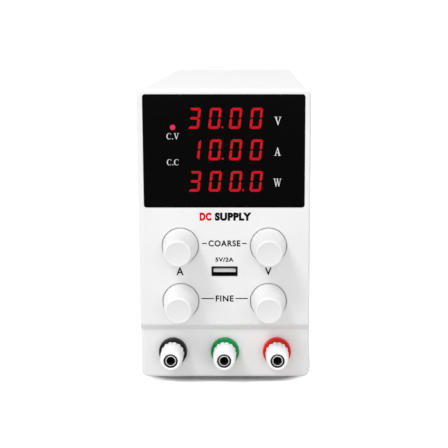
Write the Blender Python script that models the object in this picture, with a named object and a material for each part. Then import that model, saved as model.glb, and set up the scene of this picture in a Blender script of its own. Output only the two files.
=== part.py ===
"""Small upright bench power supply, modelled as an assembly of separate pieces.

Run with: blender --background --python part.py

Metres, +Z up, the front panel faces -Y, and +X is to the right of someone who uses it. Pieces are laid
out from the front panel's face (y = 0) and the surface that the feet stand on (z = 0). The empty "case"
then moves everything so that the origin is at the centre of the object's base.
"""

import math

import bmesh
import bpy
from mathutils import Vector

MM = 0.001

# ---- driving dimensions ---------------------------------------------------------------------------------
WIDTH = 82 * MM
TOP = 144.3 * MM
PANEL_BOTTOM = 3 * MM
CASE_DEPTH = 210 * MM
GAP = 0.3 * MM  # between pieces that meet
FINE_GAP = 0.15 * MM  # between small pieces that nest
THROUGH = 4 * MM  # how far back the cutters of the panel's holes reach
PAST = 50 * MM  # beyond both sides of the case

PANEL_DEPTH = 8 * MM
PANEL_WALL = 2.6 * MM
PANEL_SIDE_WALL = 2.2 * MM
PANEL_CORNER = 3.5 * MM
PANEL_EDGE = 1.6 * MM
STEP_HIGH = 31.1 * MM  # the face steps back between these two heights
STEP_LOW = 27 * MM
STEP_DEPTH = 2.5 * MM

WINDOW_SIZE = (75.9 * MM, 53.5 * MM)
WINDOW_Z = 114.9 * MM
WINDOW_THICK = 1.3 * MM
WINDOW_CORNER = 1.2 * MM

MODULE_SIZE = (40.4 * MM, 8.2 * MM, 12.8 * MM)
MODULE_Z = {"volts": 130.5 * MM, "amps": 115.65 * MM, "watts": 100.65 * MM}
LED_X = -24.8 * MM
LED_Z = {"cv_led": 126.2 * MM, "cc_led": 113.9 * MM}
LED_RADIUS = 1.5 * MM

KNOB_X = 21 * MM
KNOB_Z = {"coarse": 69.5 * MM, "fine": 42.3 * MM}
KNOB_RADIUS = 8.5 * MM
KNOB_REACH = 15.9 * MM
KNOB_SINK = 1.2 * MM  # how far the knob's rear sits in its recess
KNOB_DISH = 0.9 * MM
RECESS_RADIUS = 8.85 * MM
RECESS_DEPTH = 1.6 * MM
SHAFT_RADIUS = 3 * MM
POT_RADIUS = 8 * MM
BOARD_SIZE = (70 * MM, 106.5 * MM)  # the front board
BOARD_Z = 86.25 * MM
BOARD_THICK = 1.6 * MM

USB_Z = 57 * MM
USB_SIZE = (12.3 * MM, 4.7 * MM)
USB_FRONT = 0.5 * MM
USB_LENGTH = 15 * MM
USB_WALL = 0.35 * MM
TONGUE_SIZE = (10.8 * MM, 1.8 * MM)
TONGUE_RAISE = 0.1 * MM  # its middle is above the outlet's middle

POST_X = {"black": -25.2 * MM, "green": 0.0, "red": 25.2 * MM}
POST_Z = 16.7 * MM
POST_BASE_RADIUS = 6.8 * MM
POST_BASE_THICK = 3 * MM
POST_REACH = 14.7 * MM  # from the stepped-back face
POST_HOLE = 4.2 * MM
POST_BORE = 2.05 * MM
POST_BORE_DEEP = 21 * MM
POST_TUBE = 3 * MM
SLEEVE_RADIUS = 3.9 * MM
INSERT_RADIUS = 4 * MM
INSERT_LENGTH = 5.4 * MM
CAP_RADIUS = 5.6 * MM
CAP_FLUTES = 14
FLUTE_DEPTH = 0.45 * MM

SHEET = 1 * MM
COVER_HALF = 40.6 * MM
COVER_TOP = TOP - 0.4 * MM
COVER_BEND = 3 * MM
COVER_BOTTOM = 3.4 * MM
VENT_SIZE = (3 * MM, 26 * MM)
VENT_Z = {"upper": 108 * MM, "lower": 34 * MM}
VENT_FIRST = 84 * MM
VENT_PITCH = 7 * MM
VENTS = 10
CHASSIS_FLANGE = 17 * MM
FOOT_HEIGHT = 2.9 * MM
FOOT_RADIUS = 5.5 * MM
FOOT_X = 28 * MM
FOOT_Y = {"front": 28 * MM, "rear": 190 * MM}
SCREW_Y = {"front": 42 * MM, "rear": 178 * MM}
SCREW_Z = 11.5 * MM
SCREW_RADIUS = 1.4 * MM
SCREW_HEAD = (2.7 * MM, 1.5 * MM)

REAR_FACE = 208.5 * MM  # outer face of the rear panel
REAR_SHEET = 1.2 * MM
FAN_Z = 107 * MM
FAN_SIZE = 60 * MM
FAN_DEPTH = 25 * MM
FAN_DUCT = 28.2 * MM
FAN_HOLES = 25 * MM
FAN_HOLE_RADIUS = 2.2 * MM
HUB_RADIUS = 12.5 * MM
BLADES = 7
BLADE_TILT = math.radians(38)
GUARD_RINGS = 6
GUARD_PITCH = 4.6 * MM
GUARD_FIRST = 5.5 * MM
GUARD_WIRE = 0.75 * MM
INLET_AT = (-19 * MM, 29 * MM)
INLET_BODY = (26.8 * MM, 19.8 * MM)
SWITCH_AT = (20 * MM, 29 * MM)
SWITCH_BODY = (13 * MM, 20.4 * MM)
SWITCH_WELL = (11.4 * MM, 18.6 * MM)
ROCKER_TILT = math.radians(10)
SELECTOR_AT = (0.0, 59 * MM)
SELECTOR_BODY = (20 * MM, 12 * MM)
SELECTOR_WELL = (14.4 * MM, 6.8 * MM)
SELECTOR_TRAVEL = 7.2 * MM
CUT_OUT_EXTRA = 0.6 * MM  # the rear panel's cut-outs are this much larger than what they take
REAR_REACH = 212.9 * MM  # the rocker's raised end, the rearmost point

MID_Y = (REAR_REACH - KNOB_REACH) / 2

# Colour, roughness and metallic value of each material.
MATERIALS = {
    "white_plastic": ((0.87, 0.87, 0.87), 0.42, 0.0),
    "white_paint": ((0.88, 0.88, 0.88), 0.5, 0.0),
    "black_gloss": ((0.01, 0.01, 0.012), 0.08, 0.0),
    "black_plastic": ((0.03, 0.03, 0.032), 0.45, 0.0),
    "grey_plastic": ((0.55, 0.56, 0.57), 0.5, 0.0),
    "green_plastic": ((0.0, 0.33, 0.09), 0.35, 0.0),
    "red_plastic": ((0.72, 0.02, 0.01), 0.35, 0.0),
    "red_lens": ((0.6, 0.02, 0.03), 0.25, 0.0),
    "nickel": ((0.72, 0.71, 0.69), 0.25, 1.0),
    "black_nickel": ((0.05, 0.05, 0.055), 0.4, 1.0),
    "brass": ((0.78, 0.6, 0.3), 0.3, 1.0),
    "zinc": ((0.6, 0.61, 0.62), 0.4, 1.0),
    "aluminium": ((0.7, 0.7, 0.72), 0.4, 1.0),
    "rubber": ((0.03, 0.03, 0.03), 0.8, 0.0),
    "circuit_board": ((0.02, 0.2, 0.08), 0.5, 0.0),
    "ferrite": ((0.06, 0.06, 0.065), 0.6, 0.0),
}


# ---- building blocks ------------------------------------------------------------------------------------
def clear_scene():
    for obj in list(bpy.data.objects):
        bpy.data.objects.remove(obj, do_unlink=True)


def material(name):
    found = bpy.data.materials.get(name)
    if found:
        return found
    colour, roughness, metallic = MATERIALS[name]
    made = bpy.data.materials.new(name)
    made.use_nodes = True
    shader = made.node_tree.nodes["Principled BSDF"]
    shader.inputs["Base Color"].default_value = (*colour, 1)
    shader.inputs["Roughness"].default_value = roughness
    shader.inputs["Metallic"].default_value = metallic
    return made


def empty(name, parent=None, at=(0, 0, 0)):
    obj = bpy.data.objects.new(name, None)
    bpy.context.scene.collection.objects.link(obj)
    obj.parent = parent
    obj.location = at
    return obj


def solid(name, verts, faces, parent, at=(0, 0, 0), mat=None):
    """One closed mesh object with its faces pointing out."""
    mesh = bpy.data.meshes.new(name)
    mesh.from_pydata([tuple(v) for v in verts], [], faces)
    bm = bmesh.new()
    bm.from_mesh(mesh)
    bmesh.ops.recalc_face_normals(bm, faces=bm.faces)
    bm.to_mesh(mesh)
    bm.free()
    mesh.shade_smooth()
    mesh.set_sharp_from_angle(angle=math.radians(30))
    obj = bpy.data.objects.new(name, mesh)
    bpy.context.scene.collection.objects.link(obj)
    obj.parent = parent
    obj.location = at
    if mat:
        mesh.materials.append(material(mat))
    return obj


def sweep(name, outline, axis, low, high, parent, at=(0, 0, 0), mat=None):
    """Extrudes a closed 2-D outline along one axis. The outline is (y, z), (x, z) or (x, y)."""
    places = {
        "X": lambda a, b, s: (s, a, b),
        "Y": lambda a, b, s: (a, s, b),
        "Z": lambda a, b, s: (a, b, s),
    }[axis]
    count = len(outline)
    verts = [places(a, b, low) for a, b in outline] + [places(a, b, high) for a, b in outline]
    faces = [list(range(count)), list(range(count, 2 * count))]
    faces += [[i, (i + 1) % count, (i + 1) % count + count, i + count] for i in range(count)]
    return solid(name, verts, faces, parent, at, mat)


def box(name, low, high, parent, at=(0, 0, 0), mat=None):
    outline = [(low[0], low[2]), (high[0], low[2]), (high[0], high[2]), (low[0], high[2])]
    return sweep(name, outline, "Y", low[1], high[1], parent, at, mat)


def turned(name, profile, segments, parent, at=(0, 0, 0), mat=None, ring=False, radius_at=None):
    """Revolves (radius, y) points round the Y axis. A ring's profile closes on itself, off the axis."""
    verts, rows = [], []
    for radius, y in profile:
        if radius == 0:
            rows.append([len(verts)])
            verts.append((0, y, 0))
            continue
        row = []
        for i in range(segments):
            angle = 2 * math.pi * i / segments
            r = radius_at(radius, y, i) if radius_at else radius
            row.append(len(verts))
            verts.append((r * math.cos(angle), y, r * math.sin(angle)))
        rows.append(row)
    pairs = list(zip(rows, rows[1:])) + ([(rows[-1], rows[0])] if ring else [])
    faces = []
    for a, b in pairs:
        for i in range(segments):
            j = (i + 1) % segments
            corners = [a[i % len(a)], a[j % len(a)], b[j % len(b)], b[i % len(b)]]
            corners = list(dict.fromkeys(corners))
            if len(corners) > 2:
                faces.append(corners)
    return solid(name, verts, faces, parent, at, mat)


def disc(name, radius, low, high, segments, parent, at=(0, 0, 0), mat=None, edge=0.0):
    """A cylinder along Y, with chamfered edges where edge is given."""
    if edge:
        profile = [(0, low), (radius - edge, low), (radius, low + edge)]
        profile += [(radius, high - edge), (radius - edge, high), (0, high)]
    else:
        profile = [(0, low), (radius, low), (radius, high), (0, high)]
    return turned(name, profile, segments, parent, at, mat)


def rounded(width, height, radius, steps=3, centre=(0, 0)):
    """Outline of a rectangle with round corners, counter-clockwise."""
    points = []
    for quarter, (sx, sz) in enumerate(((1, -1), (1, 1), (-1, 1), (-1, -1))):
        cx = centre[0] + sx * (width / 2 - radius)
        cz = centre[1] + sz * (height / 2 - radius)
        for i in range(steps + 1):
            angle = math.radians(-90 + 90 * quarter + 90 * i / steps)
            points.append((cx + radius * math.cos(angle), cz + radius * math.sin(angle)))
    return points


def combine(target, other, operation):
    """A Boolean on target. The other object becomes a hidden helper. The panel, whose face has many cuts
    in one plane, needs the solver for closed meshes."""
    other.hide_render = True
    other.display_type = "WIRE"
    modifier = target.modifiers.new(other.name, "BOOLEAN")
    modifier.operation = operation
    modifier.solver = "MANIFOLD" if target.name == "front_panel" else "EXACT"
    modifier.object = other


def cut(target, *cutters):
    for cutter in cutters:
        combine(target, cutter, "DIFFERENCE")


def join(target, *others):
    for other in others:
        combine(target, other, "UNION")


def arc(centre, radius, start, end, steps):
    """Points on an arc, angles in degrees."""
    angles = [math.radians(start + (end - start) * i / steps) for i in range(steps + 1)]
    return [(centre[0] + radius * math.cos(a), centre[1] + radius * math.sin(a)) for a in angles]


# ---- front panel ----------------------------------------------------------------------------------------
def face_y(z):
    """How far back the panel's face is at height z: a soft S between the two levels."""
    t = min(1, max(0, (STEP_HIGH - z) / (STEP_HIGH - STEP_LOW)))
    return STEP_DEPTH * t * t * (3 - 2 * t)


def panel_outline(inset):
    """The right half of the panel's outline, from bottom to top, at an inset from its full size."""
    half = WIDTH / 2 - inset
    low = PANEL_BOTTOM + inset
    high = TOP - inset
    radius = max(PANEL_CORNER - inset, 0.2 * MM)
    steps = 7
    levels = [STEP_LOW + (STEP_HIGH - STEP_LOW) * i / steps for i in range(steps + 1)]
    points = arc((half - radius, low + radius), radius, -90, 0, 4)
    points += [(half, z) for z in levels]
    return points + arc((half - radius, high - radius), radius, 0, 90, 4)


def panel_solid(name, inset, offset, back, edge, parent, mat=None):
    """A block with the panel's outline, whose front follows face_y. Its front edge is rounded by edge."""
    rings = [(inset, None)]
    steps = 3 if edge else 0
    for i in range(steps + 1):
        angle = math.pi / 2 * i / max(steps, 1)
        rings.append((inset + edge * (1 - math.cos(angle)), edge * (1 - math.sin(angle))))
    verts = []
    for ring_inset, depth in rings:
        half = panel_outline(ring_inset)
        around = half + [(-x, z) for x, z in reversed(half)]
        for x, z in around:
            verts.append((x, back if depth is None else face_y(z) + offset + depth, z))
    count = len(verts) // len(rings)
    faces = []
    for r in range(len(rings) - 1):
        for i in range(count):
            j = (i + 1) % count
            faces.append([r * count + i, r * count + j, (r + 1) * count + j, (r + 1) * count + i])
    for first in (0, (len(rings) - 1) * count):
        for i in range(count // 2 - 1):
            faces.append([first + k for k in (i, i + 1, count - 2 - i, count - 1 - i)])
    return solid(name, verts, faces, parent, mat=mat)


def centred(width, low, high, height):
    """Two opposite corners of a box that is centred on the Y axis."""
    return (-width / 2, low, -height / 2), (width / 2, high, height / 2)


def front_panel(case):
    panel = panel_solid("front_panel", 0, 0, PANEL_DEPTH, PANEL_EDGE, case, "white_plastic")
    cavity = panel_solid("cut_cavity", PANEL_SIDE_WALL, PANEL_WALL, PANEL_DEPTH + MM, 0, case)
    clear = 2 * FINE_GAP
    width, height = (side + clear for side in WINDOW_SIZE)
    outline = rounded(width, height, WINDOW_CORNER, centre=(0, WINDOW_Z))
    rebate = sweep("cut_window", outline, "Y", -THROUGH, WINDOW_THICK + clear, case)
    cut(panel, cavity, rebate)
    for name, z in MODULE_Z.items():
        low, high = centred(MODULE_SIZE[0] + clear, 0, THROUGH, MODULE_SIZE[2] + clear)
        cut(panel, box("cut_" + name, low, high, case, (0, 0, z)))
    for name, z in LED_Z.items():
        cut(panel, disc("cut_" + name, LED_RADIUS + clear, 0, THROUGH, 12, case, (LED_X, 0, z)))
    for row, z in KNOB_Z.items():
        for side in (-1, 1):
            at = (side * KNOB_X, 0, z)
            name = f"cut_{row}_{side}"
            cut(panel, disc(name + "_recess", RECESS_RADIUS, -THROUGH, RECESS_DEPTH, 32, case, at))
            cut(panel, disc(name + "_hole", SHAFT_RADIUS + GAP, -MM, THROUGH, 16, case, at))
    low, high = centred(USB_SIZE[0] + clear, -THROUGH, THROUGH, USB_SIZE[1] + clear)
    cut(panel, box("cut_usb", low, high, case, (0, 0, USB_Z)))
    for name, x in POST_X.items():
        cut(panel, disc("cut_post_" + name, POST_HOLE, 0, 2 * THROUGH, 20, case, (x, 0, POST_Z)))


def display(case):
    """The window, the three digit modules and the two lamps behind it. Returns where their pins end."""
    outline = rounded(*WINDOW_SIZE, WINDOW_CORNER, centre=(0, WINDOW_Z))
    sweep("display_window", outline, "Y", FINE_GAP / 2, WINDOW_THICK, case, mat="black_gloss")
    front = WINDOW_THICK + 2.5 * FINE_GAP
    width, depth, height = MODULE_SIZE
    back = front + depth
    for name, z in MODULE_Z.items():
        low, high = centred(width, front, back, height)
        box(name + "_display", low, high, case, (0, 0, z), "black_plastic")
    for name, z in LED_Z.items():
        profile = [(0, front), (LED_RADIUS * 0.6, front + 0.2 * MM), (LED_RADIUS, front + 0.9 * MM)]
        profile += [(LED_RADIUS, back), (0, back)]
        turned(name, profile, 12, case, (LED_X, 0, z), "red_lens")
    return back


def front_board(case, board_y):
    width, height = BOARD_SIZE
    low, high = centred(width, board_y, board_y + BOARD_THICK, height)
    board = box("front_board", low, high, case, (0, 0, BOARD_Z), "circuit_board")
    low, high = centred(USB_SIZE[0] + 2 * GAP, 0, board_y + THROUGH, USB_SIZE[1] + 2 * GAP)
    cut(board, box("cut_board_usb", low, high, case, (0, 0, USB_Z)))


def usb_port(case):
    at = (0, 0, USB_Z)
    width, height = USB_SIZE
    back = USB_FRONT + USB_LENGTH
    low, high = centred(width, USB_FRONT, back, height)
    shell = box("usb_shell", low, high, case, at, "black_nickel")
    low, high = centred(width - 2 * USB_WALL, -MM, back - MM, height - 2 * USB_WALL)
    cut(shell, box("cut_usb_inside", low, high, case, at))
    low, high = centred(TONGUE_SIZE[0], USB_FRONT + 1.1 * MM, back - MM - GAP, TONGUE_SIZE[1])
    box("usb_tongue", low, high, case, (0, 0, USB_Z + TONGUE_RAISE), "grey_plastic")


def knobs(case, board_y):
    """Four knobs on their shafts, and the potentiometers that the shafts turn in."""
    pot_front = PANEL_WALL + GAP
    pot_floor = board_y - GAP - BOARD_THICK
    bore = SHAFT_RADIUS + FINE_GAP
    loose = bore + FINE_GAP
    shaft_front = 3.6 * MM - KNOB_REACH
    knob_profile = [(bore, KNOB_SINK), (KNOB_RADIUS, KNOB_SINK), (KNOB_RADIUS - 0.2 * MM, -2 * MM)]
    knob_profile += [(6.5 * MM, 1.9 * MM - KNOB_REACH), (6.1 * MM, 0.5 * MM - KNOB_REACH)]
    knob_profile += [(5.5 * MM, -KNOB_REACH), (4.8 * MM, 0.3 * MM - KNOB_REACH)]
    knob_profile += [(0, KNOB_DISH - KNOB_REACH), (0, shaft_front - GAP), (bore, shaft_front - GAP)]
    pot_profile = [(loose, pot_front), (POT_RADIUS, pot_front), (POT_RADIUS, board_y - GAP)]
    pot_profile += [(0, board_y - GAP), (0, pot_floor), (loose, pot_floor)]
    for side, quantity in ((-1, "current"), (1, "voltage")):
        for row, z in KNOB_Z.items():
            name = f"{quantity}_{row}"
            at = (side * KNOB_X, 0, z)
            axis = empty(name + "_axis", case, at)
            turned(name + "_knob", knob_profile, 28, axis, mat="white_plastic", ring=True)
            shaft_ends = (shaft_front, pot_floor - GAP)
            disc(name + "_shaft", SHAFT_RADIUS, *shaft_ends, 14, axis, mat="aluminium", edge=0.4 * MM)
            turned(name + "_pot", pot_profile, 20, case, at, "zinc", ring=True)


def binding_posts(case):
    """Base, tube and screw cap of each output terminal. The cap turns on the tube's thread."""
    face = STEP_DEPTH
    base_rear = face - FINE_GAP
    base_front = base_rear - POST_BASE_THICK
    reach = face - POST_REACH
    tube_front = reach + 0.6 * MM
    bore_end = tube_front + POST_BORE_DEEP
    cap_rear = base_front - GAP
    bore = POST_TUBE + FINE_GAP
    insert_rear = cap_rear - 0.6 * MM
    insert_front = insert_rear - INSERT_LENGTH
    sleeve_end = face + THROUGH
    soft = 0.5 * MM
    base_profile = [(bore, base_front), (POST_BASE_RADIUS - soft, base_front)]
    base_profile += [(POST_BASE_RADIUS, base_front + soft), (POST_BASE_RADIUS, base_rear)]
    base_profile += [(SLEEVE_RADIUS, base_rear), (SLEEVE_RADIUS, sleeve_end), (bore, sleeve_end)]
    stud_profile = [(POST_BORE, tube_front), (POST_TUBE, tube_front), (POST_TUBE, bore_end + 3 * MM)]
    stud_profile += [(0, bore_end + 3 * MM), (0, bore_end), (POST_BORE, bore_end)]
    insert_profile = [(bore, insert_front), (INSERT_RADIUS, insert_front)]
    insert_profile += [(INSERT_RADIUS, insert_rear), (bore, insert_rear)]
    socket, socket_front = INSERT_RADIUS + FINE_GAP, insert_front - FINE_GAP
    cap_profile = [(bore + FINE_GAP, reach), (4.2 * MM, reach), (4.9 * MM, reach + 0.8 * MM)]
    cap_profile += [(5.2 * MM, reach + 2.5 * MM), (CAP_RADIUS, cap_rear - MM), (CAP_RADIUS, cap_rear)]
    cap_profile += [(socket, cap_rear), (socket, socket_front), (bore + FINE_GAP, socket_front)]
    wire_hole = arc((base_front - 1.7 * MM, 0), 1.1 * MM, 0, 315, 7)
    colours = {"black": "black_plastic", "green": "green_plastic", "red": "red_plastic"}

    def fluted(radius, y, i):
        outside = radius > socket + FINE_GAP
        return radius - FLUTE_DEPTH * (i % 2) if outside else radius

    for name, x in POST_X.items():
        at = (x, 0, POST_Z)
        axis = empty(name + "_post_axis", case, at)
        turned(name + "_post_base", base_profile, 24, case, at, colours[name], ring=True)
        stud = turned(name + "_post_stud", stud_profile, 20, case, at, "nickel", ring=True)
        cut(stud, sweep(f"cut_{name}_wire_hole", wire_hole, "X", -2 * POST_TUBE, 2 * POST_TUBE, case, at))
        turned(name + "_post_insert", insert_profile, 20, axis, mat="brass", ring=True)
        cap = name + "_post_cap"
        turned(cap, cap_profile, 2 * CAP_FLUTES, axis, mat="white_plastic", ring=True, radius_at=fluted)


# ---- case -----------------------------------------------------------------------------------------------
def case_cover(case):
    """Top and sides in one bent sheet, with two rows of vents in each side."""
    inner = COVER_HALF - SHEET
    outer = [(COVER_HALF, COVER_BOTTOM)]
    outer += arc((COVER_HALF - COVER_BEND, COVER_TOP - COVER_BEND), COVER_BEND, 0, 90, 4)
    bend = COVER_BEND - SHEET
    inside = [(inner, COVER_BOTTOM)]
    inside += arc((inner - bend, COVER_TOP - SHEET - bend), bend, 0, 90, 4)
    outline = outer + [(-x, z) for x, z in reversed(outer)]
    outline += [(-x, z) for x, z in inside] + list(reversed(inside))
    cover = sweep("case_cover", outline, "Y", PANEL_DEPTH + GAP, CASE_DEPTH, case, mat="white_paint")
    for row, z in VENT_Z.items():
        for i in range(VENTS):
            slot = rounded(*VENT_SIZE, 1.2 * MM, 1, centre=(VENT_FIRST + VENT_PITCH * i, z))
            cut(cover, sweep(f"cut_vent_{row}_{i}", slot, "X", -PAST, PAST, case))
    cut_screw_holes(cover, case)


def cut_screw_holes(target, case):
    for name, y in SCREW_Y.items():
        circle = arc((y, SCREW_Z), SCREW_RADIUS + 2 * FINE_GAP, 0, 330, 11)
        cut(target, sweep(f"cut_{target.name}_screw_{name}", circle, "X", -PAST, PAST, case))


def base_chassis(case):
    half = COVER_HALF - SHEET - GAP
    low = COVER_BOTTOM - 0.2 * MM
    outline = [(-half, low), (half, low), (half, CHASSIS_FLANGE), (half - SHEET, CHASSIS_FLANGE)]
    outline += [(half - SHEET, low + SHEET), (SHEET - half, low + SHEET)]
    outline += [(SHEET - half, CHASSIS_FLANGE), (-half, CHASSIS_FLANGE)]
    chassis = sweep("base_chassis", outline, "Y", PANEL_DEPTH + GAP, REAR_FACE, case, mat="zinc")
    cut_screw_holes(chassis, case)
    for end, y in FOOT_Y.items():
        for side, sign in (("left", -1), ("right", 1)):
            name = f"foot_{end}_{side}"
            foot = disc(name, FOOT_RADIUS, 0, FOOT_HEIGHT, 20, case, mat="rubber", edge=0.4 * MM)
            foot.rotation_euler = (math.radians(90), 0, 0)
            foot.location = (sign * FOOT_X, y, 0)
    for name, y in SCREW_Y.items():
        for side, sign in (("left", -1), ("right", 1)):
            radius, head = SCREW_HEAD
            under = COVER_HALF + FINE_GAP
            profile = [(0, 0), (radius * 0.7, 0), (radius, 0.5 * MM), (radius, head), (SCREW_RADIUS, head)]
            profile += [(SCREW_RADIUS, head + 6 * MM), (0, head + 6 * MM)]
            screw = turned(f"cover_screw_{name}_{side}", profile, 14, case, mat="nickel")
            screw.location = (sign * (under + head), y, SCREW_Z)
            screw.rotation_euler = (0, 0, sign * math.radians(90))


# ---- rear -----------------------------------------------------------------------------------------------
def fan_corners():
    """Where the fan's four corner screws go."""
    return [Vector((sx * FAN_HOLES, 0, FAN_Z + sz * FAN_HOLES)) for sx in (-1, 1) for sz in (-1, 1)]


def rear_panel(case):
    half = COVER_HALF - 2 * (SHEET + GAP)
    low, high = COVER_BOTTOM + SHEET + GAP, COVER_TOP - SHEET - GAP
    outline = rounded(2 * half, high - low, 2 * MM, 2, centre=(0, (low + high) / 2))
    front = REAR_FACE - REAR_SHEET
    panel = sweep("rear_panel", outline, "Y", front, REAR_FACE, case, mat="white_paint")
    through = (front - THROUGH, REAR_FACE + THROUGH)
    cut(panel, disc("cut_fan_hole", FAN_DUCT, *through, 32, case, (0, 0, FAN_Z)))
    for i, at in enumerate(fan_corners()):
        cut(panel, disc(f"cut_fan_screw_{i}", FAN_HOLE_RADIUS, *through, 10, case, at))
    holes = (("inlet", INLET_AT, INLET_BODY), ("switch", SWITCH_AT, SWITCH_BODY))
    holes += (("selector", SELECTOR_AT, SELECTOR_WELL),)
    for name, at, (width, height) in holes:
        outline = rounded(width + CUT_OUT_EXTRA, height + CUT_OUT_EXTRA, 0.2 * MM, 1, centre=at)
        cut(panel, sweep(f"cut_rear_{name}", outline, "Y", *through, case))


def fan_blades(middle, axis):
    """The rotor's blades as flat tilted plates, all in one helper mesh."""
    chord, thick = 10 * MM, 0.7 * MM
    verts, faces = [], []
    for blade in range(BLADES):
        turn = 2 * math.pi * blade / BLADES
        out = Vector((math.cos(turn), 0, math.sin(turn)))
        round_way = Vector((-math.sin(turn), 0, math.cos(turn)))
        along = round_way * math.cos(BLADE_TILT) + Vector((0, 1, 0)) * math.sin(BLADE_TILT)
        across = out.cross(along)
        first = len(verts)
        for radius in (HUB_RADIUS - 3 * MM, FAN_DUCT - 2.2 * MM):
            root = out * radius + Vector((0, middle, 0))
            for s, t in ((-1, -1), (1, -1), (1, 1), (-1, 1)):
                verts.append(root + along * chord * s + across * thick * t)
        sides = [[0, 1, 2, 3], [4, 5, 6, 7], [0, 1, 5, 4], [1, 2, 6, 5], [2, 3, 7, 6], [3, 0, 4, 7]]
        faces += [[first + k for k in side] for side in sides]
    return solid("fan_blades", verts, faces, axis)


def fan(case):
    """Square frame with its duct, and the rotor on the motor's bearing."""
    rear = REAR_FACE - REAR_SHEET - GAP
    front = rear - FAN_DEPTH
    at = (0, 0, FAN_Z)
    outline = rounded(FAN_SIZE, FAN_SIZE, 3 * MM, 2)
    frame = sweep("fan_frame", outline, "Y", front, rear, case, at, "black_plastic")
    cut(frame, disc("cut_duct", FAN_DUCT, front - MM, rear + MM, 32, case, at))
    for i, place in enumerate(fan_corners()):
        cut(frame, disc(f"cut_frame_hole_{i}", FAN_HOLE_RADIUS, front - MM, rear + MM, 8, case, place))
    long, wide = 2 * (FAN_DUCT + MM), 4 * MM
    for name, width, height in (("spoke_across", long, wide), ("spoke_up", wide, long)):
        join(frame, box(name, *centred(width, front, front + 2.6 * MM, height), case, at))
    join(frame, disc("motor_mount", HUB_RADIUS - 0.5 * MM, front, front + 3 * MM, 20, case, at))
    axis = empty("fan_axis", case, at)
    hub_front, hub_rear = front + 3.4 * MM, rear - 4.4 * MM
    rotor = disc("fan_rotor", HUB_RADIUS, hub_front, hub_rear, 28, axis, mat="black_plastic", edge=MM)
    join(rotor, fan_blades((hub_front + hub_rear) / 2, axis))


def fan_guard(case):
    """Wire rings on two crossed bars, with an eye for a screw at each bar's end."""
    at = (0, 0, FAN_Z)
    wire = GUARD_WIRE
    bar_y = REAR_FACE + GAP + wire
    ring_y = bar_y + 1.4 * wire
    eye = FAN_HOLES * math.sqrt(2)
    guard = None
    for i in range(GUARD_RINGS):
        profile = arc((GUARD_FIRST + GUARD_PITCH * i, ring_y), wire, 0, 288, 4)
        name = f"guard_ring_{i}" if guard else "fan_guard"
        ring = turned(name, profile, 12 + 4 * min(i, 3), case, at, "nickel", ring=True)
        if guard:
            join(guard, ring)
            continue
        guard = ring
        for turn in (45, 135):
            bar = sweep(f"guard_bar_{turn}", arc((0, 0), wire, 0, 300, 5), "X", -eye, eye, case)
            bar.location = (0, bar_y, FAN_Z)
            bar.rotation_euler = (0, math.radians(turn), 0)
            join(guard, bar)
    inner, outer = 1.8 * MM, 3.6 * MM
    profile = [(inner, bar_y - wire), (outer, bar_y - wire), (outer, bar_y + wire), (inner, bar_y + wire)]
    for i, place in enumerate(fan_corners()):
        join(guard, turned(f"guard_eye_{i}", profile, 12, case, place, ring=True))


def mains_inlet(case):
    """Appliance inlet: a flanged housing with a deep socket, and three blades."""
    x, z = INLET_AT
    at = (x, 0, z)
    face = REAR_FACE + FINE_GAP
    front, back = face + 2.5 * MM, face - 18.5 * MM
    outline = rounded(31 * MM, 25 * MM, 2.5 * MM, 2)
    housing = sweep("inlet_housing", outline, "Y", face, front, case, at, "black_plastic")
    low, high = centred(INLET_BODY[0], back, face + MM, INLET_BODY[1])
    join(housing, box("inlet_body", low, high, case, at))
    half, tall, bevel = 12.1 * MM, 8.2 * MM, 4 * MM
    socket = [(-half, -tall), (half, -tall), (half, tall - bevel), (half - bevel, tall)]
    socket += [(bevel - half, tall), (-half, tall - bevel)]
    floor = back + 3.5 * MM
    cut(housing, sweep("cut_socket", socket, "Y", floor, front + MM, case, at))
    width, height = 2 * MM, 4 * MM
    blades = {"line": (-7 * MM, -2 * MM), "earth": (0.0, 2 * MM), "neutral": (7 * MM, -2 * MM)}
    for name, (px, pz) in blades.items():
        place = (x + px, 0, z + pz)
        low, high = centred(width, back - 5 * MM, floor + 12 * MM, height)
        box(f"inlet_{name}_pin", low, high, case, place, "nickel")
        low, high = centred(width + 2 * FINE_GAP, back - MM, floor + MM, height + 2 * FINE_GAP)
        cut(housing, box(f"cut_{name}_slot", low, high, case, place))


def power_switch(case):
    x, z = SWITCH_AT
    at = (x, 0, z)
    face = REAR_FACE + FINE_GAP
    lip = face + 1.8 * MM
    outline = rounded(17 * MM, 24 * MM, MM, 1)
    frame = sweep("switch_frame", outline, "Y", face, lip, case, at, "black_plastic")
    low, high = centred(SWITCH_BODY[0], face - 14 * MM, face + MM, SWITCH_BODY[1])
    join(frame, box("switch_body", low, high, case, at))
    low, high = centred(SWITCH_WELL[0], face - 9 * MM, lip + MM, SWITCH_WELL[1])
    cut(frame, box("cut_rocker_well", low, high, case, at))
    axis = empty("rocker_axis", case, (x, face - 3 * MM, z))
    half, end, waist, soft = 8 * MM, 6.05 * MM, 4.9 * MM, 0.6 * MM
    outline = [(-4.4 * MM, -5 * MM), (-4.4 * MM, 5 * MM), (1.5 * MM, half)]
    outline += [(end - soft, half), (end, half - soft), (waist, 0)]
    outline += [(end, soft - half), (end - soft, -half), (1.5 * MM, -half)]
    side = SWITCH_WELL[0] / 2 - GAP
    rocker = sweep("switch_rocker", outline, "X", -side, side, axis, mat="black_plastic")
    rocker.rotation_euler = (ROCKER_TILT, 0, 0)


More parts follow.
